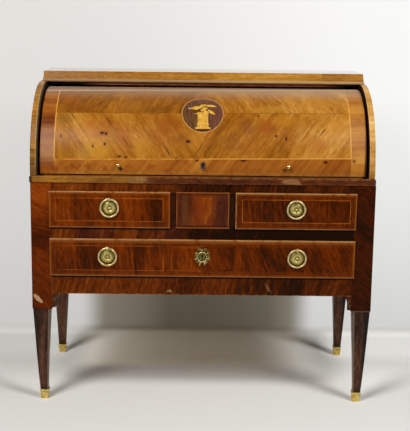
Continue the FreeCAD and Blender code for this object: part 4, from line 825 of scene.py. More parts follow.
# The trophy: a quiver and its neck, a wing, a bow, a horn, a drape and a crest, each a leaf with its middle,
# its two radii and its turn.
TROPHY = [
    (-0.0225, 0.2275, 0.0175, 0.0082, 12), (-0.0045, 0.2335, 0.0160, 0.0052, 24),
    (0.0265, 0.2375, 0.0205, 0.0052, -7), (0.0045, 0.2225, 0.0135, 0.0062, 28),
    (0.0275, 0.2085, 0.0165, 0.0056, -42), (0.0055, 0.2120, 0.0150, 0.0050, -18),
    (0.0015, 0.2415, 0.0120, 0.0034, 4),
]
FLUTE = 0.0078
figure = column.most(base).most(slope_base).most(ledge).most(cap)
for leaf_x, leaf_up, long, tall, turn in TROPHY:
    figure = figure.most(lozenge(flat, (leaf_x, leaf_up), (long, tall), turn))
flutes = abs((inlay_x / FLUTE + 0.5).math("FRACT") - 0.5).rise(0.38, 0.48) * column
pale = point(x * 160, arc * 60, 11.0).noise(3).shades((0.3, "b07a1e"), (0.5, "cc9a3a"), (0.72, "dcb35c"))
pale = pale.over("9a6a14", flutes * 0.45)
ridge = arc.near(0.1552, 0.0011, 0.001) * column
pale = pale.over("8a6414", ridge * 0.6)
tip = lozenge(flat, (-0.0425, 0.2250), (0.0065, 0.0034), 8)
eyes = reach(flat, (0.0008, 0.2348), (0.0030, 0.0026)).rise(1.2, 0.6).most(
    reach(flat, (0.0014, 0.2113), (0.0026, 0.0024)).rise(1.2, 0.6)
)
shade_under = lozenge(flat, (-0.0180, 0.2135), (0.0200, 0.0030), 10)
tint = tint.over("5a2a10", shade_under * (1 - figure) * 0.7)
tint = figure.mix(tint, pale)
tint = tint.over("c8a588", tip * 0.8)
tint = tint.over("5a3a10", eyes * 0.8)
plinth = reach(flat, (0.0010, 0.1372), (0.0235, 0.0056)).rise(1.06, 0.9) * (1 - figure)
tint = tint.over("4c240c", plinth)
ring_worn = grit((disc_x, disc_up, 1.0), 4, 2).rise(0.3, 0.5) * 0.6 + 0.4
disc_string = disc_r.near(0.976, 0.018, 0.012) * ring_worn
tint = tint.over("c09258", disc_string * 0.8)

# Old varnish and painted sheen: a grey bloom along the top that also stands in for the sheen of the light there,
# and pale haze low on both end bands that is partly painted sheen.
bloom_and_sheen = arc.rise(0.265, 0.345) * 0.9
haze_and_sheen = side_band * (arc - 0.085 - right * 0.03).within(0.055 + right * 0.02, 0.05)
haze_and_sheen = haze_and_sheen * (0.3 + (side_grain[0] - 0.5) * (1 - right))
tint = tint.over("ac9880", bloom_and_sheen * (0.45 + x.rise(-0.3, 0.3) * 0.15))
# Painted highlight: a pale line near the top edge. Painted sheen: a grey strip along the top edge itself.
top_highlight_line = (arc - 0.3490 - x * 0.035).within(0.0055, 0.006)
tint = tint.over("e0c8a0", top_highlight_line * 0.45)
top_sheen_strip = (arc - 0.3560 - x * 0.035).rise(-0.001, 0.004)
tint = tint.over("8c7264", top_sheen_strip * 0.75)
tint = tint.over(right.mix("c2a284", "a88050"), haze_and_sheen * 0.75)
end_shadow = right * (x - 0.5225 - arc * 0.035).rise(0.0, 0.004)
tint = tint.over("180c06", end_shadow * 0.85)
on_face = point(x, arc, 0.0)
# Painted shadows: dark marks on the face beside and below the two knobs.
knob_shadows = reach(on_face, (-0.2690, 0.0050), (0.0080, 0.0056), -25).rise(1.3, 0.5).most(
    reach(on_face, (0.2645, 0.0065), (0.0076, 0.0052), 25).rise(1.3, 0.5) * 0.8
)
tint = tint.over("1c0e06", knob_shadows * 0.8)
keyhole = key_slot(x, arc - 0.0205, (0.00001464, 0.00000976), 0.0016, 0.004, 0.005, 0.0006)
tint = tint.over("0a0503", keyhole)
edge_wear = arc.rise(0.000, -0.006) * grit((x, 3.0, 1.0), 60, 3).rise(0.35, 0.6)
tint = tint.over("c99a50", edge_wear * 0.15)

# The hollow side is plain wood under a thin wash of colour.
hollow = (out * out + up * up).rise(0.0600, 0.0585)
plain_grain = woodgrain(x, arc, 190.0, 0.01, flecked=False)
plain = tone_of(plain_grain).shades((0.15, "5f3512"), (0.5, "8a5724"), (0.85, "ab7a3e"))
tint = hollow.mix(tint, plain)
ripple = point(along * 6, across * 20, 4.0).noise(2)
gloss = 0.36 + own[1].stray(0.2) + bloom_and_sheen * 0.15 + haze_and_sheen * 0.15 + heart * 0.15 + hollow * 0.2
lay(cylinder_veneer, tint, gloss, flecks * 0.3 + ripple - crack * 2.5 - heart * 0.6, 0.0004)
fit(skin("veneered_cylinder", shell_rings), cylinder_veneer, "cylinder", "cylinder_veneer", "cylinder_shell")

# Cylinder's ironwork: two flat arms screwed inside the shell, the stub pins they turn on, and a lock case
# with its bolt behind the keyhole. All are black forged iron, scaled and pitted.
iron, x, y, z = new_finish("forged_iron", Metallic=0.3, Specular_IOR_Level=0.3)
scale = grit((x, y, z), 60, 4, 0.6)
pits = grit((x, y, z), 350, 2)
tint = scale.shades((0.3, "141210"), (0.5, "292522"), (0.66, "3c3632"), (0.8, "4c3526"))
lay(iron, tint, 0.45 + pits.stray(0.4), pits, 0.0002)
dress(iron, "cylinder_arms", "cylinder_pivots", "cylinder_lock", "cylinder_lock_bolt")

# Cylinder knobs: two small brass balls on necks, each turned in one piece with a foot that is screwed to the
# shell near its lower edge. They lift the cylinder, and hands keep them bright.
KNOB_ANGLE = math.radians(4)
KNOB_PROFILE = [
    (0.0000, -0.0004), (0.0060, -0.0004), (0.0060, 0.0008), (0.0052, 0.0013), (0.0036, 0.0018), (0.0029, 0.0030),
    (0.0031, 0.0036),
]
BALL, BALL_OFF = 0.008, 0.010


def turned(profile, steps=40):
    """A turned shape about the out axis: each pair of radius and height is carried round a circle."""
    profile = np.asarray(profile)
    turn = np.linspace(0, 2 * np.pi, steps, endpoint=False)
    rings = np.empty((len(profile), steps, 3))
    rings[:, :, 0] = np.outer(profile[:, 0], np.cos(turn))
    rings[:, :, 1] = np.outer(profile[:, 0], np.sin(turn))
    rings[:, :, 2] = profile[:, 1:]
    return rings


def stood(shape, origin, lean=0.0):
    """A shape drawn across, up and out of a face, stood up to face the sitter, leaned back and moved."""
    across, up, out = np.moveaxis(shape, -1, 0)
    cosine, sine = math.cos(lean), math.sin(lean)
    return np.stack([across, up * sine - out * cosine, up * cosine + out * sine], axis=-1) + origin


def on_cylinder(across, angle):
    """The point of the closed cylinder's face at an angle above its axis."""
    return np.array([across, AXIS_Y - CYLINDER_R * math.cos(angle), AXIS_Z + CYLINDER_R * math.sin(angle)])


ball_turn = np.linspace(-math.radians(62), np.pi / 2, 15)
ball = np.stack([BALL * np.cos(ball_turn), BALL_OFF + BALL * np.sin(ball_turn)], axis=-1)
knob = turned(np.concatenate([KNOB_PROFILE, ball]), 28)
knob_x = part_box("cylinder_knobs")[1][0] - BALL
knobs = [stood(knob, on_cylinder(sign * knob_x, KNOB_ANGLE), KNOB_ANGLE) for sign in (-1, 1)]

bright_brass, x, y, z = new_finish("rubbed_brass", Metallic=1.0, Specular_IOR_Level=0.5)
mottle = grit((x, y, z), 200, 3)
tint = mottle.shades((0.3, "9a7434"), (0.5, "d8b468"), (0.7, "f0d890"))
lay(bright_brass, tint, 0.10 + mottle.stray(0.06), mottle, 0.00003)
fit(skin("brass_knobs", *knobs), bright_brass, "cylinder", "brass", "cylinder_knobs")

# Cylinder's key plate: a worn oval of thin brass pinned round the keyhole, brown with dirt and half sunk in the
# veneer. Its hole is worn wide.
PLATE_WIDE, PLATE_TALL = 0.0090, 0.0155
PLATE_DROP = 0.002
PLATE_STEPS = [(0.0, -0.0006), (0.0, 0.0008), (0.0005, 0.0013), (0.0016, 0.0014), (0.0022, 0.0010)]
plate_up = np.mean(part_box("cylinder_escutcheon"), axis=0)[2]
plate_angle = math.asin((plate_up - AXIS_Z) / CYLINDER_R) - PLATE_DROP / CYLINDER_R


def oval_ring(wide, tall, out, steps=48):
    """An ellipse of half sizes wide and tall at a height out of the face."""
    turn = np.linspace(0, 2 * np.pi, steps, endpoint=False)
    return np.stack([wide * np.cos(turn), tall * np.sin(turn), np.full(steps, out)], axis=-1)


dull_brass, x, y, z = new_finish("dull_brass", Metallic=0.3, Specular_IOR_Level=0.3)
mottle = grit((x, y, z), 160, 3)
grime = grit((x, y, z), 500, 2)
tint = (mottle * 0.75 + grime * 0.25).shades((0.3, "2c1c10"), (0.5, "5c4230"), (0.66, "86664a"), (0.8, "a88a62"))
key_up = z - float(plate_up) - 0.0015
hole = key_slot(x + 0.0012, key_up, (0.000027, 0.000018), 0.0024, 0.0055, 0.0058, 0.0008)
tint = tint.over("080403", hole)
lay(dull_brass, tint, 0.45 + mottle.stray(0.4) + hole * 0.4, grime - hole * 5, 0.0002)
plate_rings = [oval_ring(PLATE_WIDE - inset, PLATE_TALL - inset, out) for inset, out in PLATE_STEPS]
plate_rings = np.stack([*plate_rings, oval_ring(0.0, 0.0, 0.0011)])
oval_plate = stood(plate_rings, on_cylinder(0.0, plate_angle), plate_angle)
fit(skin("oval_key_plate", oval_plate), dull_brass, "cylinder", "brass", "cylinder_escutcheon")

# Writing slide: a framed board that pulls out to write on, with a moulded strip along its front and a
# tooled leather let into its top. The strip's veneer was patched many times and runs from gold to dark red.
slide_wood, x, y, z = new_finish("slide_wood", Specular_IOR_Level=0.4, Coat_Weight=0.1, Coat_Roughness=0.2)
grain = woodgrain(x, y, 210.0, 0.012)
ends = abs(x).rise(0.4755, 0.4765)
cross_grain = woodgrain(y, x, 214.0, 0.01)
tone = tone_of(grain) * (1 - ends) + tone_of(cross_grain) * ends
tint = tone.shades((0.12, "4a1f08"), (0.42, "7c4416"), (0.65, "9c6428"), (0.92, "bb8746"))
end_joint = (abs(x) - 0.476).within(0.0005, 0.0006)
tint = tint.over("2a1206", end_joint * 0.6)
lay(slide_wood, tint, 0.36 + grain[1].stray(0.25), grain[2] - end_joint, 0.00018)
dress(slide_wood, "writing_slide")

lip_low, lip_high = np.array(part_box("slide_lip"))[:, 1:]
lip_outline = eased(*(lip_high - lip_low) / 2, 0.0022, 5)
lip_ends = np.array([-0.5625, -0.5613, 0.5573, 0.5585])
lip_shrink = np.array([0.9, 1.0, 1.0, 0.9])
lip_outlines = (lip_low + lip_high) / 2 + lip_outline * lip_shrink[:, None, None]
lip_rings = stack(lip_outlines, lip_ends)[:, :, [2, 0, 1]]

lip_veneer, x, y, z = new_finish("lip_veneer", Specular_IOR_Level=0.12)
grain = woodgrain(x, z + y * 0.8, 220.0, 0.004)
curl = point(x * 26, z * 120, 2.0).noise(3)
tone = 0.5 + grain[1].stray(0.6) + grain[2].stray(0.2) + curl.stray(0.4)
golden = tone.shades((0.15, "523109"), (0.42, "724610"), (0.65, "8a5a1d"), (0.9, "a87a38"))
russet = tone.shades((0.12, "240b03"), (0.4, "3f1906"), (0.62, "5a280c"), (0.9, "7a4622"))
tint = x.rise(-0.20, -0.17).mix(golden, russet)
gilt = x.near(-0.475, 0.035, 0.0175) * point(x * 60, z * 200, 7.0).noise(2).rise(0.4, 0.6)
tint = tint.over("a8701a", gilt * 0.7)
scribble = x.near(-0.3215, 0.026, 0.013) * z.near(0.7562, 0.0064, 0.00384)
wave = x * 900 + z * 700 + curl * 12
scribble = scribble * abs(wave.math("SINE")).rise(0.75, 0.4)
tint = tint.over("3a2008", scribble * 0.75)
ashy = x.near(-0.205, 0.03, 0.024) * point(x * 120, z * 160, 9.0).noise(3).rise(0.45, 0.6)
tint = tint.over("8a7458", ashy * 0.5)
patch = (x - 0.286 + (z - 0.756) * 0.8 + curl.stray(0.03)).within(0.027, 0.018)
patch = patch * z.near(0.7558, 0.0085, 0.004)
tint = (patch * 0.55).mix(tint, tone.shades((0.2, "7a4a26"), (0.5, "9a6a40"), (0.8, "b48a5e")))
upper_edge = z.rise(0.7628, 0.7645) * grit((x, 2.0, 4.0), 50, 3).rise(0.38, 0.6)
tint = tint.over("a47b48", upper_edge * 0.35)
foot_line = z.rise(0.7485, 0.7470) * grit((x, 5.0, 4.0), 40, 3).rise(0.38, 0.55)
tint = tint.over("9a6230", foot_line * 0.55)
corner = abs(x).rise(0.5500, 0.5560) * (1 - x.rise(0, 0.01))
tint = tint.over("221a10", corner * 0.85)
lay(lip_veneer, tint, 0.38 + curl.stray(0.3), grain[1] + curl * 0.6, 0.0003)
fit(skin("moulded_lip", lip_rings), lip_veneer, "slide", "rail_wood", "slide_lip")

leather, x, y, z = new_finish("tooled_leather", Specular_IOR_Level=0.4)
leather_low, leather_high = np.array(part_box("writing_leather"))[:, :2]
hide = point(x, y, 0.0)
hide_cells = hide.node("ShaderNodeTexVoronoi", {"Vector": hide, "Scale": 620.0})
wear = point(x * 5, y * 9, 2.0).noise(3)
tint = (wear * 0.8 + hide_cells * 0.2).shades((0.3, "2e1a0e"), (0.5, "4a2a16"), (0.7, "6a4022"))
TOOLING = [(0.012, 0.0007), (0.016, 0.0018), (0.028, 0.0006)]
BEADS_IN, BEAD_STEP = 0.022, 0.009
bead_x = abs((x / BEAD_STEP).math("FRACT") - 0.5)
bead_y = abs((y / BEAD_STEP).math("FRACT") - 0.5)
bead_row = past_frame(x, y, leather_low + BEADS_IN, leather_high - BEADS_IN).within(0.0026, 0.001)
gilding = bead_row * (bead_x.within(0.3, 0.1) * bead_y.within(0.3, 0.1))
for inset, half in TOOLING:
    _, line = frame_line(x, y, leather_low + inset, leather_high - inset, half)
    gilding = gilding.most(line)
tint = tint.over("b98f3c", gilding * 0.8)
lay(leather, tint, 0.5 + wear.stray(0.3) - gilding * 0.15, hide_cells * 0.4 - gilding * 0.8, 0.0003)
dress(leather, "writing_leather")

# Drawers: three above and a long one below, each a dovetailed oak box behind a veneered front whose edge
# laps over the rails. The fronts are framed by a light string in crossbanding, and worn pale on the edges.
FRONT_Y = -0.266875
OAK_SIDES = ((0.15, "5a3a1a"), (0.5, "805a2e"), (0.85, "9c7644"))
LAP, LAP_GAP, FRONT_EDGE = 0.006, 0.0007, 0.0026


def drawer_front(node, lap):
    """A drawer front, ringed from its back to its face.

    Rings of its outline step out from the block in the opening to the lap over the rails, then follow a
    quarter round in to the flat face.
    """
    low, high = np.array(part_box(node))
    half = (high - low)[[0, 2]] / 2
    middle = (high + low)[[0, 2]] / 2
    turn = np.linspace(0, np.pi / 2, 5)
    inset = [lap] * 2 + [0.0] + (FRONT_EDGE * (1 - np.cos(turn))).tolist()
    lap_back = FRONT_Y - 0.0003 if lap else low[1] + 0.004
    depth = [high[1], lap_back, lap_back] + (low[1] + FRONT_EDGE * (1 - np.sin(turn))).tolist()
    outlines = np.stack([eased(half[0] - by, half[1] - by, 0.0012) + middle for by in inset])
    return stack(outlines, depth)[:, :, [0, 2, 1]]


drawer_veneer, x, y, z = new_finish("drawer_veneer", Specular_IOR_Level=0.05)
upper = z.rise(0.5800, 0.5805)
lower = 1 - upper
right = x.rise(-0.02, 0.02)
across = abs(x)
past_upper, line_upper = frame_line(across, z, (0.129, 0.622), (0.479, 0.697), 0.0009)
past_outer, line_outer = frame_line(across, z, (0.127, 0.458), (0.479, 0.539), 0.0009)
past_inner, line_inner = frame_line(x, z, (-0.101, 0.458), (0.105, 0.539), 0.0009)
panel = (past_upper * upper + past_outer.least(past_inner) * lower).rise(0.0004, -0.0004)
field = upper * 7 + right * 3 + past_inner.rise(0.01, -0.01) * 2
lean = 0.12 + right * lower * 0.35
grain = woodgrain(z + x * 0.2, x + z * lean, field * 4.0 + 230.0, 0.022)
flame = point(x * 13 + z * 4, z * 3.5, field + 5.0).noise(3, 0.55)
banding = woodgrain(x * 0.6 + z, x - z * 0.6, 250.0, 0.01)
tone = tone_of(grain, 0.3, 0.5, 0.15) + flame.stray(0.75) - 0.09
# Painted shade: the right drawers are laid darker.
tone = tone - right * (0.06 + upper * 0.07) + upper * 0.03 - x.near(-0.21, 0.06, 0.04) * (0.05 + upper * 0.05)
tone = tone + upper * x.near(0.205, 0.075, 0.05) * 0.07 - upper * x.near(0.42, 0.06, 0.04) * 0.03
dark_strip = x.near(-0.1445, 0.0135, 0.004) * upper
tone = tone - dark_strip * 0.15 - lower * x.near(-0.205, 0.018, 0.006) * 0.2
band_tone = (tone_of(banding, 0.8, 0.5, 0.15) + 0.03) * 0.4 + tone * 0.6
tone = tone * panel + band_tone * (1 - panel)
tint = tone.shades(
    (0.05, "1f0b00"), (0.28, "431700"), (0.47, "622500"), (0.64, "7c3502"), (0.82, "904506"), (1.0, "a0530e")
)
line = line_upper * upper + line_outer.most(line_inner) * lower
faint = 1 - right * lower * 0.6 - lower * 0.4
faint = faint * (0.35 + grit((x, z, 3.0), 16, 3).rise(0.38, 0.58) * 0.65)
tint = tint.over("b8681e", line * faint * 0.7)
past_front = past_frame(across, z, (0.1065, 0.599), (0.500, 0.719))
past_long = past_frame(x, z, (-0.500, 0.437), (0.500, 0.562))
past_edge = past_front * upper + past_long * lower
rim = past_edge.rise(-0.0042, -0.0028)
broad_rim = past_edge.rise(-0.0100, -0.0040) * (0.6 - upper * 0.25)
rim_top = (z.rise(0.7145, 0.7160) * upper).most(z.rise(0.5575, 0.5590) * lower)
rim_low = (z.rise(0.6035, 0.6020) * upper).most(z.rise(0.4415, 0.4400) * lower)
gaps = grit((x, z, 6.0), 34, 3).rise(0.33, 0.47)
tint = tint.over("84501f", broad_rim * (0.35 + gaps * 0.35))
long_top = z.rise(0.5460, 0.5530) * lower + z.rise(0.7080, 0.7130) * upper * 0.5
tint = tint.over("8a5426", long_top * (0.15 + gaps * 0.2))
tint = tint.over("8a4c18", rim * (0.5 + gaps * 0.3))
tint = tint.over("a67a4c", rim_top * rim * (gaps * 0.65 + 0.05))
tint = tint.over("8a6a4c", rim_low * rim * (0.15 + gaps * 0.3))
left_edge = x.near(0.1080, 0.0012, 0.001) * upper * (0.3 + gaps * 0.4)
tint = tint.over("a07848", left_edge)
behind = y.rise(-0.2675, -0.2665)
tint = behind.mix(tint, tone_of(woodgrain(x, z, 260.0)).shades(*OAK_SIDES))
gloss = 0.32 + grain[1].stray(0.25) + rim * 0.1 + behind * 0.2
lay(drawer_veneer, tint, gloss, grain[2] + flame * 0.4, 0.0002)
for name in ("left", "right", "long"):
    mesh = skin(f"{name}_veneered_front", drawer_front(f"{name}_drawer_front", LAP + LAP_GAP))
    fit(mesh, drawer_veneer, f"{name}_drawer", "carcass_veneer", f"{name}_drawer_front")

# Centre drawer: a plain front, flush in its opening and without a handle. An urn in golden and red wood is inlaid
# on dark, plum-coloured veneer inside a light string, which runs on over the edges of the rails.
URN_X, URN_SCALE = 0.0030, 30
URN_PROFILE = [
    (0.6150, 0.0095), (0.6200, 0.0100), (0.6260, 0.0100), (0.6330, 0.0140), (0.6400, 0.0185), (0.6500, 0.0235),
    (0.6600, 0.0262), (0.6700, 0.0258), (0.6790, 0.0235), (0.6850, 0.0228), (0.6900, 0.0240), (0.6950, 0.0262),
    (0.7000, 0.0275), (0.7030, 0.0270),
]
urn_veneer, x, y, z = new_finish("urn_veneer", Specular_IOR_Level=0.05)
grain = woodgrain(z + x * 0.15, x, 270.0, 0.02)
flame = point(x * 22, z * 9, 2.0).noise(3, 0.55)
tone = tone_of(grain, 0.3, 0.4, 0.15) + flame.stray(0.9) - 0.06
tint = tone.shades((0.1, "2a0e02"), (0.35, "4a1c06"), (0.52, "5c2a0c"), (0.7, "72390f"), (0.95, "905018"))
plum = (x.near(0.062, 0.022, 0.0198) + x.near(-0.062, 0.02, 0.018) * 0.5) * (0.4 + flame * 0.8)
tint = tint.over("3c1d18", (plum * 0.6).least(1))
greenish = x.near(-0.058, 0.009, 0.0081) * z.near(0.66, 0.04, 0.032)
tint = tint.over("5a4420", greenish * 0.25)
warm = (x - URN_X).within(0.034, 0.0272)
tint = tint.over("7a2f0c", warm * 0.4)
spot_x, spot_up = (x - 0.058) / 0.008, (z - 0.684) / 0.007
spot = (spot_x * spot_x + spot_up * spot_up).rise(1.4, 0.4)
tint = tint.over("26100c", spot * 0.6)
urn_low, urn_high = URN_PROFILE[0][0], URN_PROFILE[-1][0]
urn_stops = [((at - urn_low) / (urn_high - urn_low), (half * URN_SCALE,) * 3 + (1.0,)) for at, half in URN_PROFILE]
urn_half = z.node("ShaderNodeValToRGB", {0: (z - urn_low) / (urn_high - urn_low)}, stops=urn_stops)
in_urn = (abs(x - URN_X + flame.stray(0.004)) - urn_half / URN_SCALE).rise(0.0014, -0.0008)
in_urn = in_urn * (z - (urn_low + urn_high) / 2).within((urn_high - urn_low) / 2, 0.001)
urn_grain = point(x * 70, z * 14, 12.0).noise(3)
urn_tone = urn_grain + ((x - URN_X) / 0.022) * 0.16
urn_tint = urn_tone.shades((0.28, "602204"), (0.45, "763406"), (0.6, "8c480a"), (0.78, "a46418"))
red_side = (x - URN_X).rise(0.004, -0.014) * 0.55 + z.near(0.655, 0.012, 0.0096) * 0.25
urn_tint = urn_tint.over("74280a", red_side)
tint = (in_urn * 0.6).mix(tint, urn_tint)
past, line = frame_line(x, z, (-CENTRE_LINE, 0.6012), (CENTRE_LINE, 0.7171), 0.0010)
tint = tint.over("a8642c", line * 0.6)
outside = past.rise(0.0008, 0.0016)
tint = tint.over("5e3418", outside * 0.4)
behind = y.rise(-0.2635, -0.2625)
tint = behind.mix(tint, tone_of(woodgrain(x, z, 261.0)).shades(*OAK_SIDES))
lay(urn_veneer, tint, 0.33 + grain[1].stray(0.25) + behind * 0.2, grain[2] + flame * 0.4, 0.0002)
mesh = skin("centre_veneered_front", drawer_front("centre_drawer_front", 0.0))
fit(mesh, urn_veneer, "centre_drawer", "carcass_veneer", "centre_drawer_front")

# Drawer boxes: thin oak sides and back dovetailed together, with a bottom slid into grooves. The end grain
# of the tails shows dark along the corners.
TAIL_STEP = 0.031
box_oak, x, y, z = new_finish("drawer_oak", Specular_IOR_Level=0.3)
grain = woodgrain(y, x + z * 1.1, 280.0, 0.008)
tone = tone_of(grain, 0.6, 0.6, 0.35)
tint = tone.shades((0.15, "7a5526"), (0.45, "a27a42"), (0.7, "b8935a"), (0.95, "ccac76"))
box_low, box_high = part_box("left_drawer_box")
from_corner = (y - box_low[1]).least(box_high[1] - y)
tail = abs((z / TAIL_STEP).math("FRACT") - 0.5)
dovetail = from_corner.rise(0.0105, 0.0100) * (tail - from_corner * 8).rise(0.195, 0.180)
tint = tint.over("6a4520", dovetail * 0.55)
pores = oak_pores(x, y, z)
tint = tint.over("5a3c1a", pores * 0.4)
lay(box_oak, tint, 0.52 + grain[1].stray(0.3), grain[2] - pores, 0.0002)
dress(box_oak, "left_drawer_box", "right_drawer_box", "centre_drawer_box", "long_drawer_box")

# Ring pulls: a round stamped back plate with raised rings and a boss, an eye at its top, and a cast ring
# that hangs from the eye. The plate has gone olive in its hollows; the ring is worn pale.
FACE_Y = -0.273875
PULL_RING, PULL_TUBE = 0.02875, 0.00325
RING_OFF, PULL_PLATE = 0.006, 0.023
PLATE_PROFILE = [
    (0.0000, 0.0074), (0.0012, 0.0073), (0.0026, 0.0066), (0.0036, 0.0054), (0.0040, 0.0042), (0.0046, 0.0036),
    (0.0062, 0.0033), (0.0082, 0.0034), (0.0092, 0.0040), (0.0105, 0.0049), (0.0120, 0.0053), (0.0135, 0.0050),
    (0.0146, 0.0046), (0.0152, 0.0044), (0.0165, 0.0041), (0.0190, 0.0031), (0.0205, 0.0022), (0.0213, 0.0024),
    (0.0224, 0.0023), (0.0230, 0.0016), (0.0230, -0.0002), (0.0000, -0.0002),
]


def bent(radius, tube, flat=1.0, steps=64, around=16):
    """A ring of round bar: a circle of the bar's radius, flattened out of the face, carried round a circle."""
    turn = np.linspace(0, 2 * np.pi, steps + 1)
    bar = np.linspace(0, 2 * np.pi, around, endpoint=False)
    swept = radius + tube * np.cos(bar)
    return np.stack([
        np.outer(np.cos(turn), swept), np.outer(np.sin(turn), swept),
        np.outer(np.ones(steps + 1), tube * flat * np.sin(bar)),
    ], axis=-1)


def eye(inside, wall, half_length, height, off, steps=28):
    """The eye over the ring: a short tube lying across, its square section carried round the bar it holds."""
    turn = np.linspace(0, 2 * np.pi, steps + 1)
    section = eased(half_length, wall / 2, wall * 0.3, 3) + (0, inside + wall / 2)
    return np.stack([
        np.outer(np.ones(steps + 1), section[:, 0]),
        height + np.outer(np.cos(turn), section[:, 1]), off + np.outer(np.sin(turn), section[:, 1]),
    ], axis=-1)


plate_brass, x, y, z = new_finish("olive_brass", Metallic=0.85, Specular_IOR_Level=0.5)
mottle = grit((x, y, z), 120, 3)
fine = grit((x, y, z), 600, 2)
proud = FACE_Y - y
tone = mottle * 0.5 + proud.rise(0.0022, 0.0062) * 0.45
tint = tone.shades((0.12, "5e5426"), (0.3, "8f8040"), (0.5, "b4a25a"), (0.72, "dac886"), (0.95, "f0e4b2"))
lay(plate_brass, tint, 0.34 + mottle.stray(0.3), fine, 0.00008)

ring_brass, x, y, z = new_finish("pale_brass", Metallic=0.7, Specular_IOR_Level=0.5)
mottle = grit((x, y, z), 110, 3)
fine = grit((x, y, z), 500, 2)
tint = (mottle * 0.7 + fine * 0.3).shades((0.3, "a58b50"), (0.5, "cdb67e"), (0.72, "e2d0a0"))
lay(ring_brass, tint, 0.36 + mottle.stray(0.3), fine, 0.0001)

pull_plate = turned(PLATE_PROFILE, 56)
pull_eye = eye(PULL_TUBE + 0.0005, 0.0015, 0.003, PULL_RING, RING_OFF)
lug_heights = np.array([0.0205, 0.0235, 0.0252])
lug = stack(np.stack([eased(half, 0.0022, 0.0008) + (0, 0.0026) for half in (0.0042, 0.0034, 0.0030)]), lug_heights)
lug = lug[:, :, [0, 2, 1]]
pull_ring = bent(PULL_RING, PULL_TUBE, 0.92)


def pull_places(node):
    """The middles of a node's ring pulls on the drawer's face, left to right."""
    low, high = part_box(node)
    places = np.unique(np.round([low[0] + PULL_PLATE, high[0] - PULL_PLATE], 6))
    return [np.array([place, FACE_Y, low[2] + PULL_PLATE]) for place in places]


for node, body in (
    ("left_drawer_pull_plate", "left_drawer"), ("right_drawer_pull_plate", "right_drawer"),
    ("long_drawer_pull_plates", "long_drawer"),
):
    shells = [stood(part, at) for at in pull_places(node) for part in (pull_plate, pull_eye, lug)]
    fit(skin(f"stamped_{node}", *shells), plate_brass, body, "brass", node)

for node, body in (
    ("left_drawer_ring", "left_ring"), ("right_drawer_ring", "right_ring"),
    ("long_drawer_left_ring", "long_left_ring"), ("long_drawer_right_ring", "long_right_ring"),
):
    shape = stood(pull_ring, np.mean(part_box(node), axis=0))
    fit(skin(f"cast_{node}", shape), ring_brass, body, "brass", node)

# Long drawer's key plate: a cast openwork wreath of leaves round a pierced shield, two scrolls above and
# drops below, pinned to the front over the keyhole. Its lock case and bolt sit behind the front.
WREATH_SCALE = (1.1, 1.06, 1.0)
wreath_middle = np.mean(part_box("long_drawer_escutcheon"), axis=0)
wreath_middle[1] = FACE_Y


def wreath_leaf(root, heading, length, wide, thick, curl=0.0, steps=9):
    """A cast leaf: a lens-shaped section carried along a bent midrib, widest a third of the way along.

    Its half width is a half sine wave of its length, and it turns by curl from its root to its tip.
    """
    run = np.linspace(0, 1, steps)
    aim = heading + curl * run
    stride = length / (steps - 1)
    rib = np.cumsum(np.stack([np.cos(aim), np.sin(aim)], axis=-1) * stride, axis=0) + np.asarray(root)
    half = wide / 2 * np.sin(np.pi * run ** 0.75) + 0.0002
    lens = np.linspace(0, 2 * np.pi, 8, endpoint=False)
    side = np.stack([-np.sin(aim), np.cos(aim)], axis=-1)
    flat = rib[:, None, :] + side[:, None, :] * (half[:, None] * np.cos(lens))[:, :, None]
    lift = thick / 2 + (0.35 + 0.65 * half[:, None] / half.max()) * thick / 2 * np.sin(lens)
    return np.concatenate([flat, lift[:, :, None]], axis=-1)


def scroll(middle, start, turns, outer, inner, tube, steps=40):
    """A scroll of round bar whose radius shrinks evenly as it turns about its middle."""
    run = np.linspace(0, 1, steps)
    turn = start + 2 * np.pi * turns * run
    radius = outer + (inner - outer) * run
    bar = np.linspace(0, 2 * np.pi, 8, endpoint=False)
    thick = tube * (1 - 0.35 * run)
    swept = radius[:, None] + thick[:, None] * np.cos(bar)
    return np.stack([
        middle[0] + swept * np.cos(turn)[:, None], middle[1] + swept * np.sin(turn)[:, None],
        tube + thick[:, None] * np.sin(bar),
    ], axis=-1)


SCROLLS = [
    (-0.0096, 0.0212, 0.0064, 1.0), (0.0096, 0.0212, 0.0064, -1.0), (-0.0176, 0.0106, 0.0046, 1.0),
    (0.0180, 0.0100, 0.0050, -1.0), (-0.0188, 0.0012, 0.0042, 1.0), (0.0190, -0.0002, 0.0038, -1.0),
    (-0.0190, -0.0086, 0.0050, 1.0), (0.0186, -0.0096, 0.0050, -1.0), (-0.0118, -0.0168, 0.0052, 1.0),
    (0.0108, -0.0172, 0.0052, -1.0),
]
DROPS = [(-0.0066, -0.0182, -1.70, 0.0118), (0.0056, -0.0180, -1.45, 0.0100)]
TENDRILS = [(-0.0128, 0.0070, 2.5), (0.0128, 0.0076, 0.7), (-0.0136, -0.0060, 3.3), (0.0134, -0.0060, -0.2),
            (0.0000, 0.0150, 1.57), (-0.0040, -0.0160, -2.2), (0.0046, -0.0160, -0.9)]
shells = []
for scroll_x, scroll_up, size, hand in SCROLLS:
    begin = math.atan2(-scroll_up, -scroll_x)
    shells.append(scroll((scroll_x, scroll_up), begin, hand * 1.3, size - 0.0013, 0.0016, 0.0015))
for drop_x, drop_up, heading, length in DROPS:
    shells.append(wreath_leaf((drop_x, drop_up), heading, length, 0.0040, 0.0040))
for root_x, root_up, heading in TENDRILS:
    shells.append(wreath_leaf((root_x, root_up), heading, 0.0088, 0.0036, 0.0040, 0.8))
oval = bent(1.0, 0.11, 1.0, 48, 10) * (0.0132, 0.0152, 0.0150) + (0, -0.002, 0.0019)
shield = np.stack([
    oval_ring(0.0095, 0.0118, 0.0), oval_ring(0.0095, 0.0118, 0.0014), oval_ring(0.0085, 0.0108, 0.0020),
    oval_ring(0.0, 0.0, 0.0023),
]) + (0, -0.002, 0)
shells += [oval, shield]

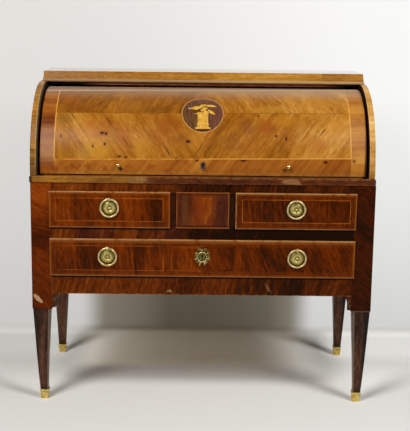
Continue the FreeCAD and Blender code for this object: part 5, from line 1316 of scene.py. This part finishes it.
wreath_brass, x, y, z = new_finish("wreath_brass", Metallic=0.7, Specular_IOR_Level=0.5)
mottle = grit((x, y, z), 200, 3)
proud = FACE_Y - y
tone = mottle * 0.35 + proud.rise(0.0008, 0.0042) * 0.6
tint = tone.shades((0.14, "2c2610"), (0.34, "605628"), (0.55, "988a4c"), (0.78, "ccb97a"), (0.95, "e6d8a6"))
off_x, off_z = x - wreath_middle[0], z - wreath_middle[2]
hole = key_slot(off_x, off_z - 0.0015, (0.000016, 0.000011), 0.0019, 0.0060, 0.0055, 0.0006)
tint = tint.over("060402", hole)
lay(wreath_brass, tint, 0.36 + mottle.stray(0.3) + hole * 0.4, mottle - hole * 4, 0.0002)
wreath = skin("leaf_wreath_key_plate", *[stood(part * WREATH_SCALE, wreath_middle) for part in shells])
fit(wreath, wreath_brass, "long_drawer", "brass", "long_drawer_escutcheon")
dress(iron, "long_drawer_lock", "long_drawer_lock_bolt")

# Studio: a sheet of pale paper over the floor that curves up into a wall behind, and another behind that,
# two large soft lamps in front on either hand and a faint even light all round. They stand apart.
paper, x, y, z = new_finish("studio_paper", Specular_IOR_Level=0.1, Emission_Strength=1.0)
fall = grit((x, y, z), 1.2, 2)
pale = x.rise(-1.0, 1.0).mix("e4e3de", "eeeeea")
pale = pale.over("ccc9c2", fall.stray(0.1) + 0.05)
# Painted shadow: the floor under the front half of the desk is laid darker.
floor_shadow_in_front = abs(x).rise(0.52, 0.40) * y.near(-0.02, 0.05, 0.12)
pale = pale.over("aaa59b", floor_shadow_in_front * 0.6)
wall = z.rise(0.004, 0.04)
pale = pale.over("6c6b69", wall)
fibre = grit((x, y, z), 300, 2)
lay(paper, pale, 0.85 + fibre.stray(0.1), fibre, 0.0001)
on_floor = (1 - wall) * y.rise(0.52, 0.48)

# The paper glows a little, to the eye and in polish alone. This glow is painted light: it pales the wall and the
# floor beside and beyond the desk, and it paints the desk's shadow dim on the wall and on the floor under it.
seen = Field(paper.node_tree.nodes.new("ShaderNodeLightPath").outputs["Is Camera Ray"])
mirrored = Field(seen.socket.node.outputs["Is Glossy Ray"])
through = Field(seen.socket.node.outputs["Is Transmission Ray"])
left_lift = z.shades((0.05, "bcbbb8"), (0.6, "c9c7c4"), (1.0, "cdcbc8"))
right_lift = z.shades((0.05, "c6c6c4"), (0.6, "dddddb"), (1.0, "e5e5e3"))
lift = x.rise(-0.75, 0.75).mix(left_lift, right_lift)
shade = abs(x + 0.0075).rise(0.480, 0.365) * z.rise(0.55, 0.42)
under = (x + 0.5).shades(
    (0.10, "777064"), (0.258, "665f53"), (0.378, "4c473c"), (0.518, "4b463b"),
    (0.658, "504b40"), (0.778, "5a5549"), (0.86, "726c60"),
)
lift = shade.mix(lift, under)
beside = y.rise(-0.2, 0.1) * abs(x).rise(0.45, 0.6) * on_floor
floor_lift = beside.mix("000000", x.rise(-0.5, 0.5).mix("5d5d5b", "868684"))
far = y.rise(0.12, 0.3) * abs(x).rise(0.45, 0.6) * on_floor
floor_lift = far.mix(floor_lift, x.rise(-0.5, 0.5).mix("767674", "a2a2a0"))
below = abs(x + 0.0175).rise(0.50, 0.36) * y.rise(0.04, 0.15) * on_floor
floor_shadow_under_desk = (x + 0.5).shades(
    (0.08, "8c867b"), (0.2, "7c766a"), (0.33, "686257"), (0.48, "5c564c"), (0.75, "5a544a"), (0.92, "686358")
)
floor_lift = below.mix(floor_lift, floor_shadow_under_desk)
distant = (x * x + y * y).rise(10.0, 40.0)
floor_lift = floor_lift.over("c4c3be", distant)
wall_glow = seen.most(mirrored).most(through)
glow = wall_glow.mix("000000", wall.mix(floor_lift, lift))

# The paper is seen from its face alone, so that it doesn't hide the desk from behind.
from_behind = Field(paper.node_tree.nodes.new("ShaderNodeNewGeometry").outputs["Backfacing"])
feed(paper, Emission_Color=glow, Alpha=1 - from_behind)

FLOOR_BACK, SWEEP, WALL_TOP, STAGE_HALF = 0.46, 0.05, 4.5, 40.0


def paper_sheet(name, line):
    """A sheet of paper across the whole stage, bent along a line of points in y and z."""
    points = np.empty((len(line), 2, 3))
    points[:, :, 0] = (-STAGE_HALF, STAGE_HALF)
    points[:, :, 1:] = np.asarray(line)[:, None, :]
    index = np.arange(2 * len(line)).reshape(-1, 2)
    faces = np.stack([index[:-1, 0], index[:-1, 1], index[1:, 1], index[1:, 0]], axis=-1)
    mesh = bpy.data.meshes.new(name)
    mesh.from_pydata(points.reshape(-1, 3).tolist(), [], faces.tolist())
    mesh.shade_smooth()
    mesh.materials.append(paper)
    sheet = bpy.data.objects.new(name, mesh)
    bpy.context.scene.collection.objects.link(sheet)


sweep_turn = np.linspace(-np.pi / 2, 0, 25)
sweep = np.stack([FLOOR_BACK + SWEEP * np.cos(sweep_turn), SWEEP + SWEEP * np.sin(sweep_turn)], axis=-1)
paper_sheet("studio_sweep", [(-STAGE_HALF, 0.0), *sweep.tolist(), (FLOOR_BACK + SWEEP, WALL_TOP)])
paper_sheet("studio_floor_behind", [(FLOOR_BACK, -0.0004), (STAGE_HALF, -0.0004)])

AIM = np.array([0.0, 0.0, 0.6])


def soft_lamp(name, place, size, power):
    """A rectangular soft lamp that shines from its place to the middle of the desk."""
    lamp = bpy.data.lights.new(name, "AREA")
    lamp.shape = "RECTANGLE"
    lamp.size, lamp.size_y = size
    lamp.energy = power
    stand = bpy.data.objects.new(name, lamp)
    stand.location = place
    aim = AIM - np.array(place)
    turn_up = math.atan2(math.hypot(aim[0], aim[1]), -aim[2])
    stand.rotation_euler = (turn_up, 0.0, math.atan2(aim[1], aim[0]) - np.pi / 2)
    bpy.context.scene.collection.objects.link(stand)


soft_lamp("left_soft_lamp", (-1.85, -2.7, 3.4), (1.2, 1.4), 125)
soft_lamp("right_soft_lamp", (2.35, -2.4, 3.3), (1.2, 1.4), 105)

world = bpy.data.worlds.new("studio_air")
world.use_nodes = True
air = world.node_tree.nodes["Background"].inputs
air["Color"].default_value = colour("ffe2bc")
air["Strength"].default_value = 0.05
bpy.context.scene.world = world
bpy.context.scene.view_settings.view_transform = "Standard"

camera_lens = bpy.data.cameras.new("studio_camera")
camera_lens.lens = 86.66
camera_lens.shift_x = 0.0324
camera = bpy.data.objects.new("studio_camera", camera_lens)
camera.location = (-0.038, -3.580, 1.295)
camera.rotation_mode = "ZYX"
camera.rotation_euler = (math.radians(78.85), 0.0, math.radians(0.619))
bpy.context.scene.collection.objects.link(camera)
bpy.context.scene.camera = camera
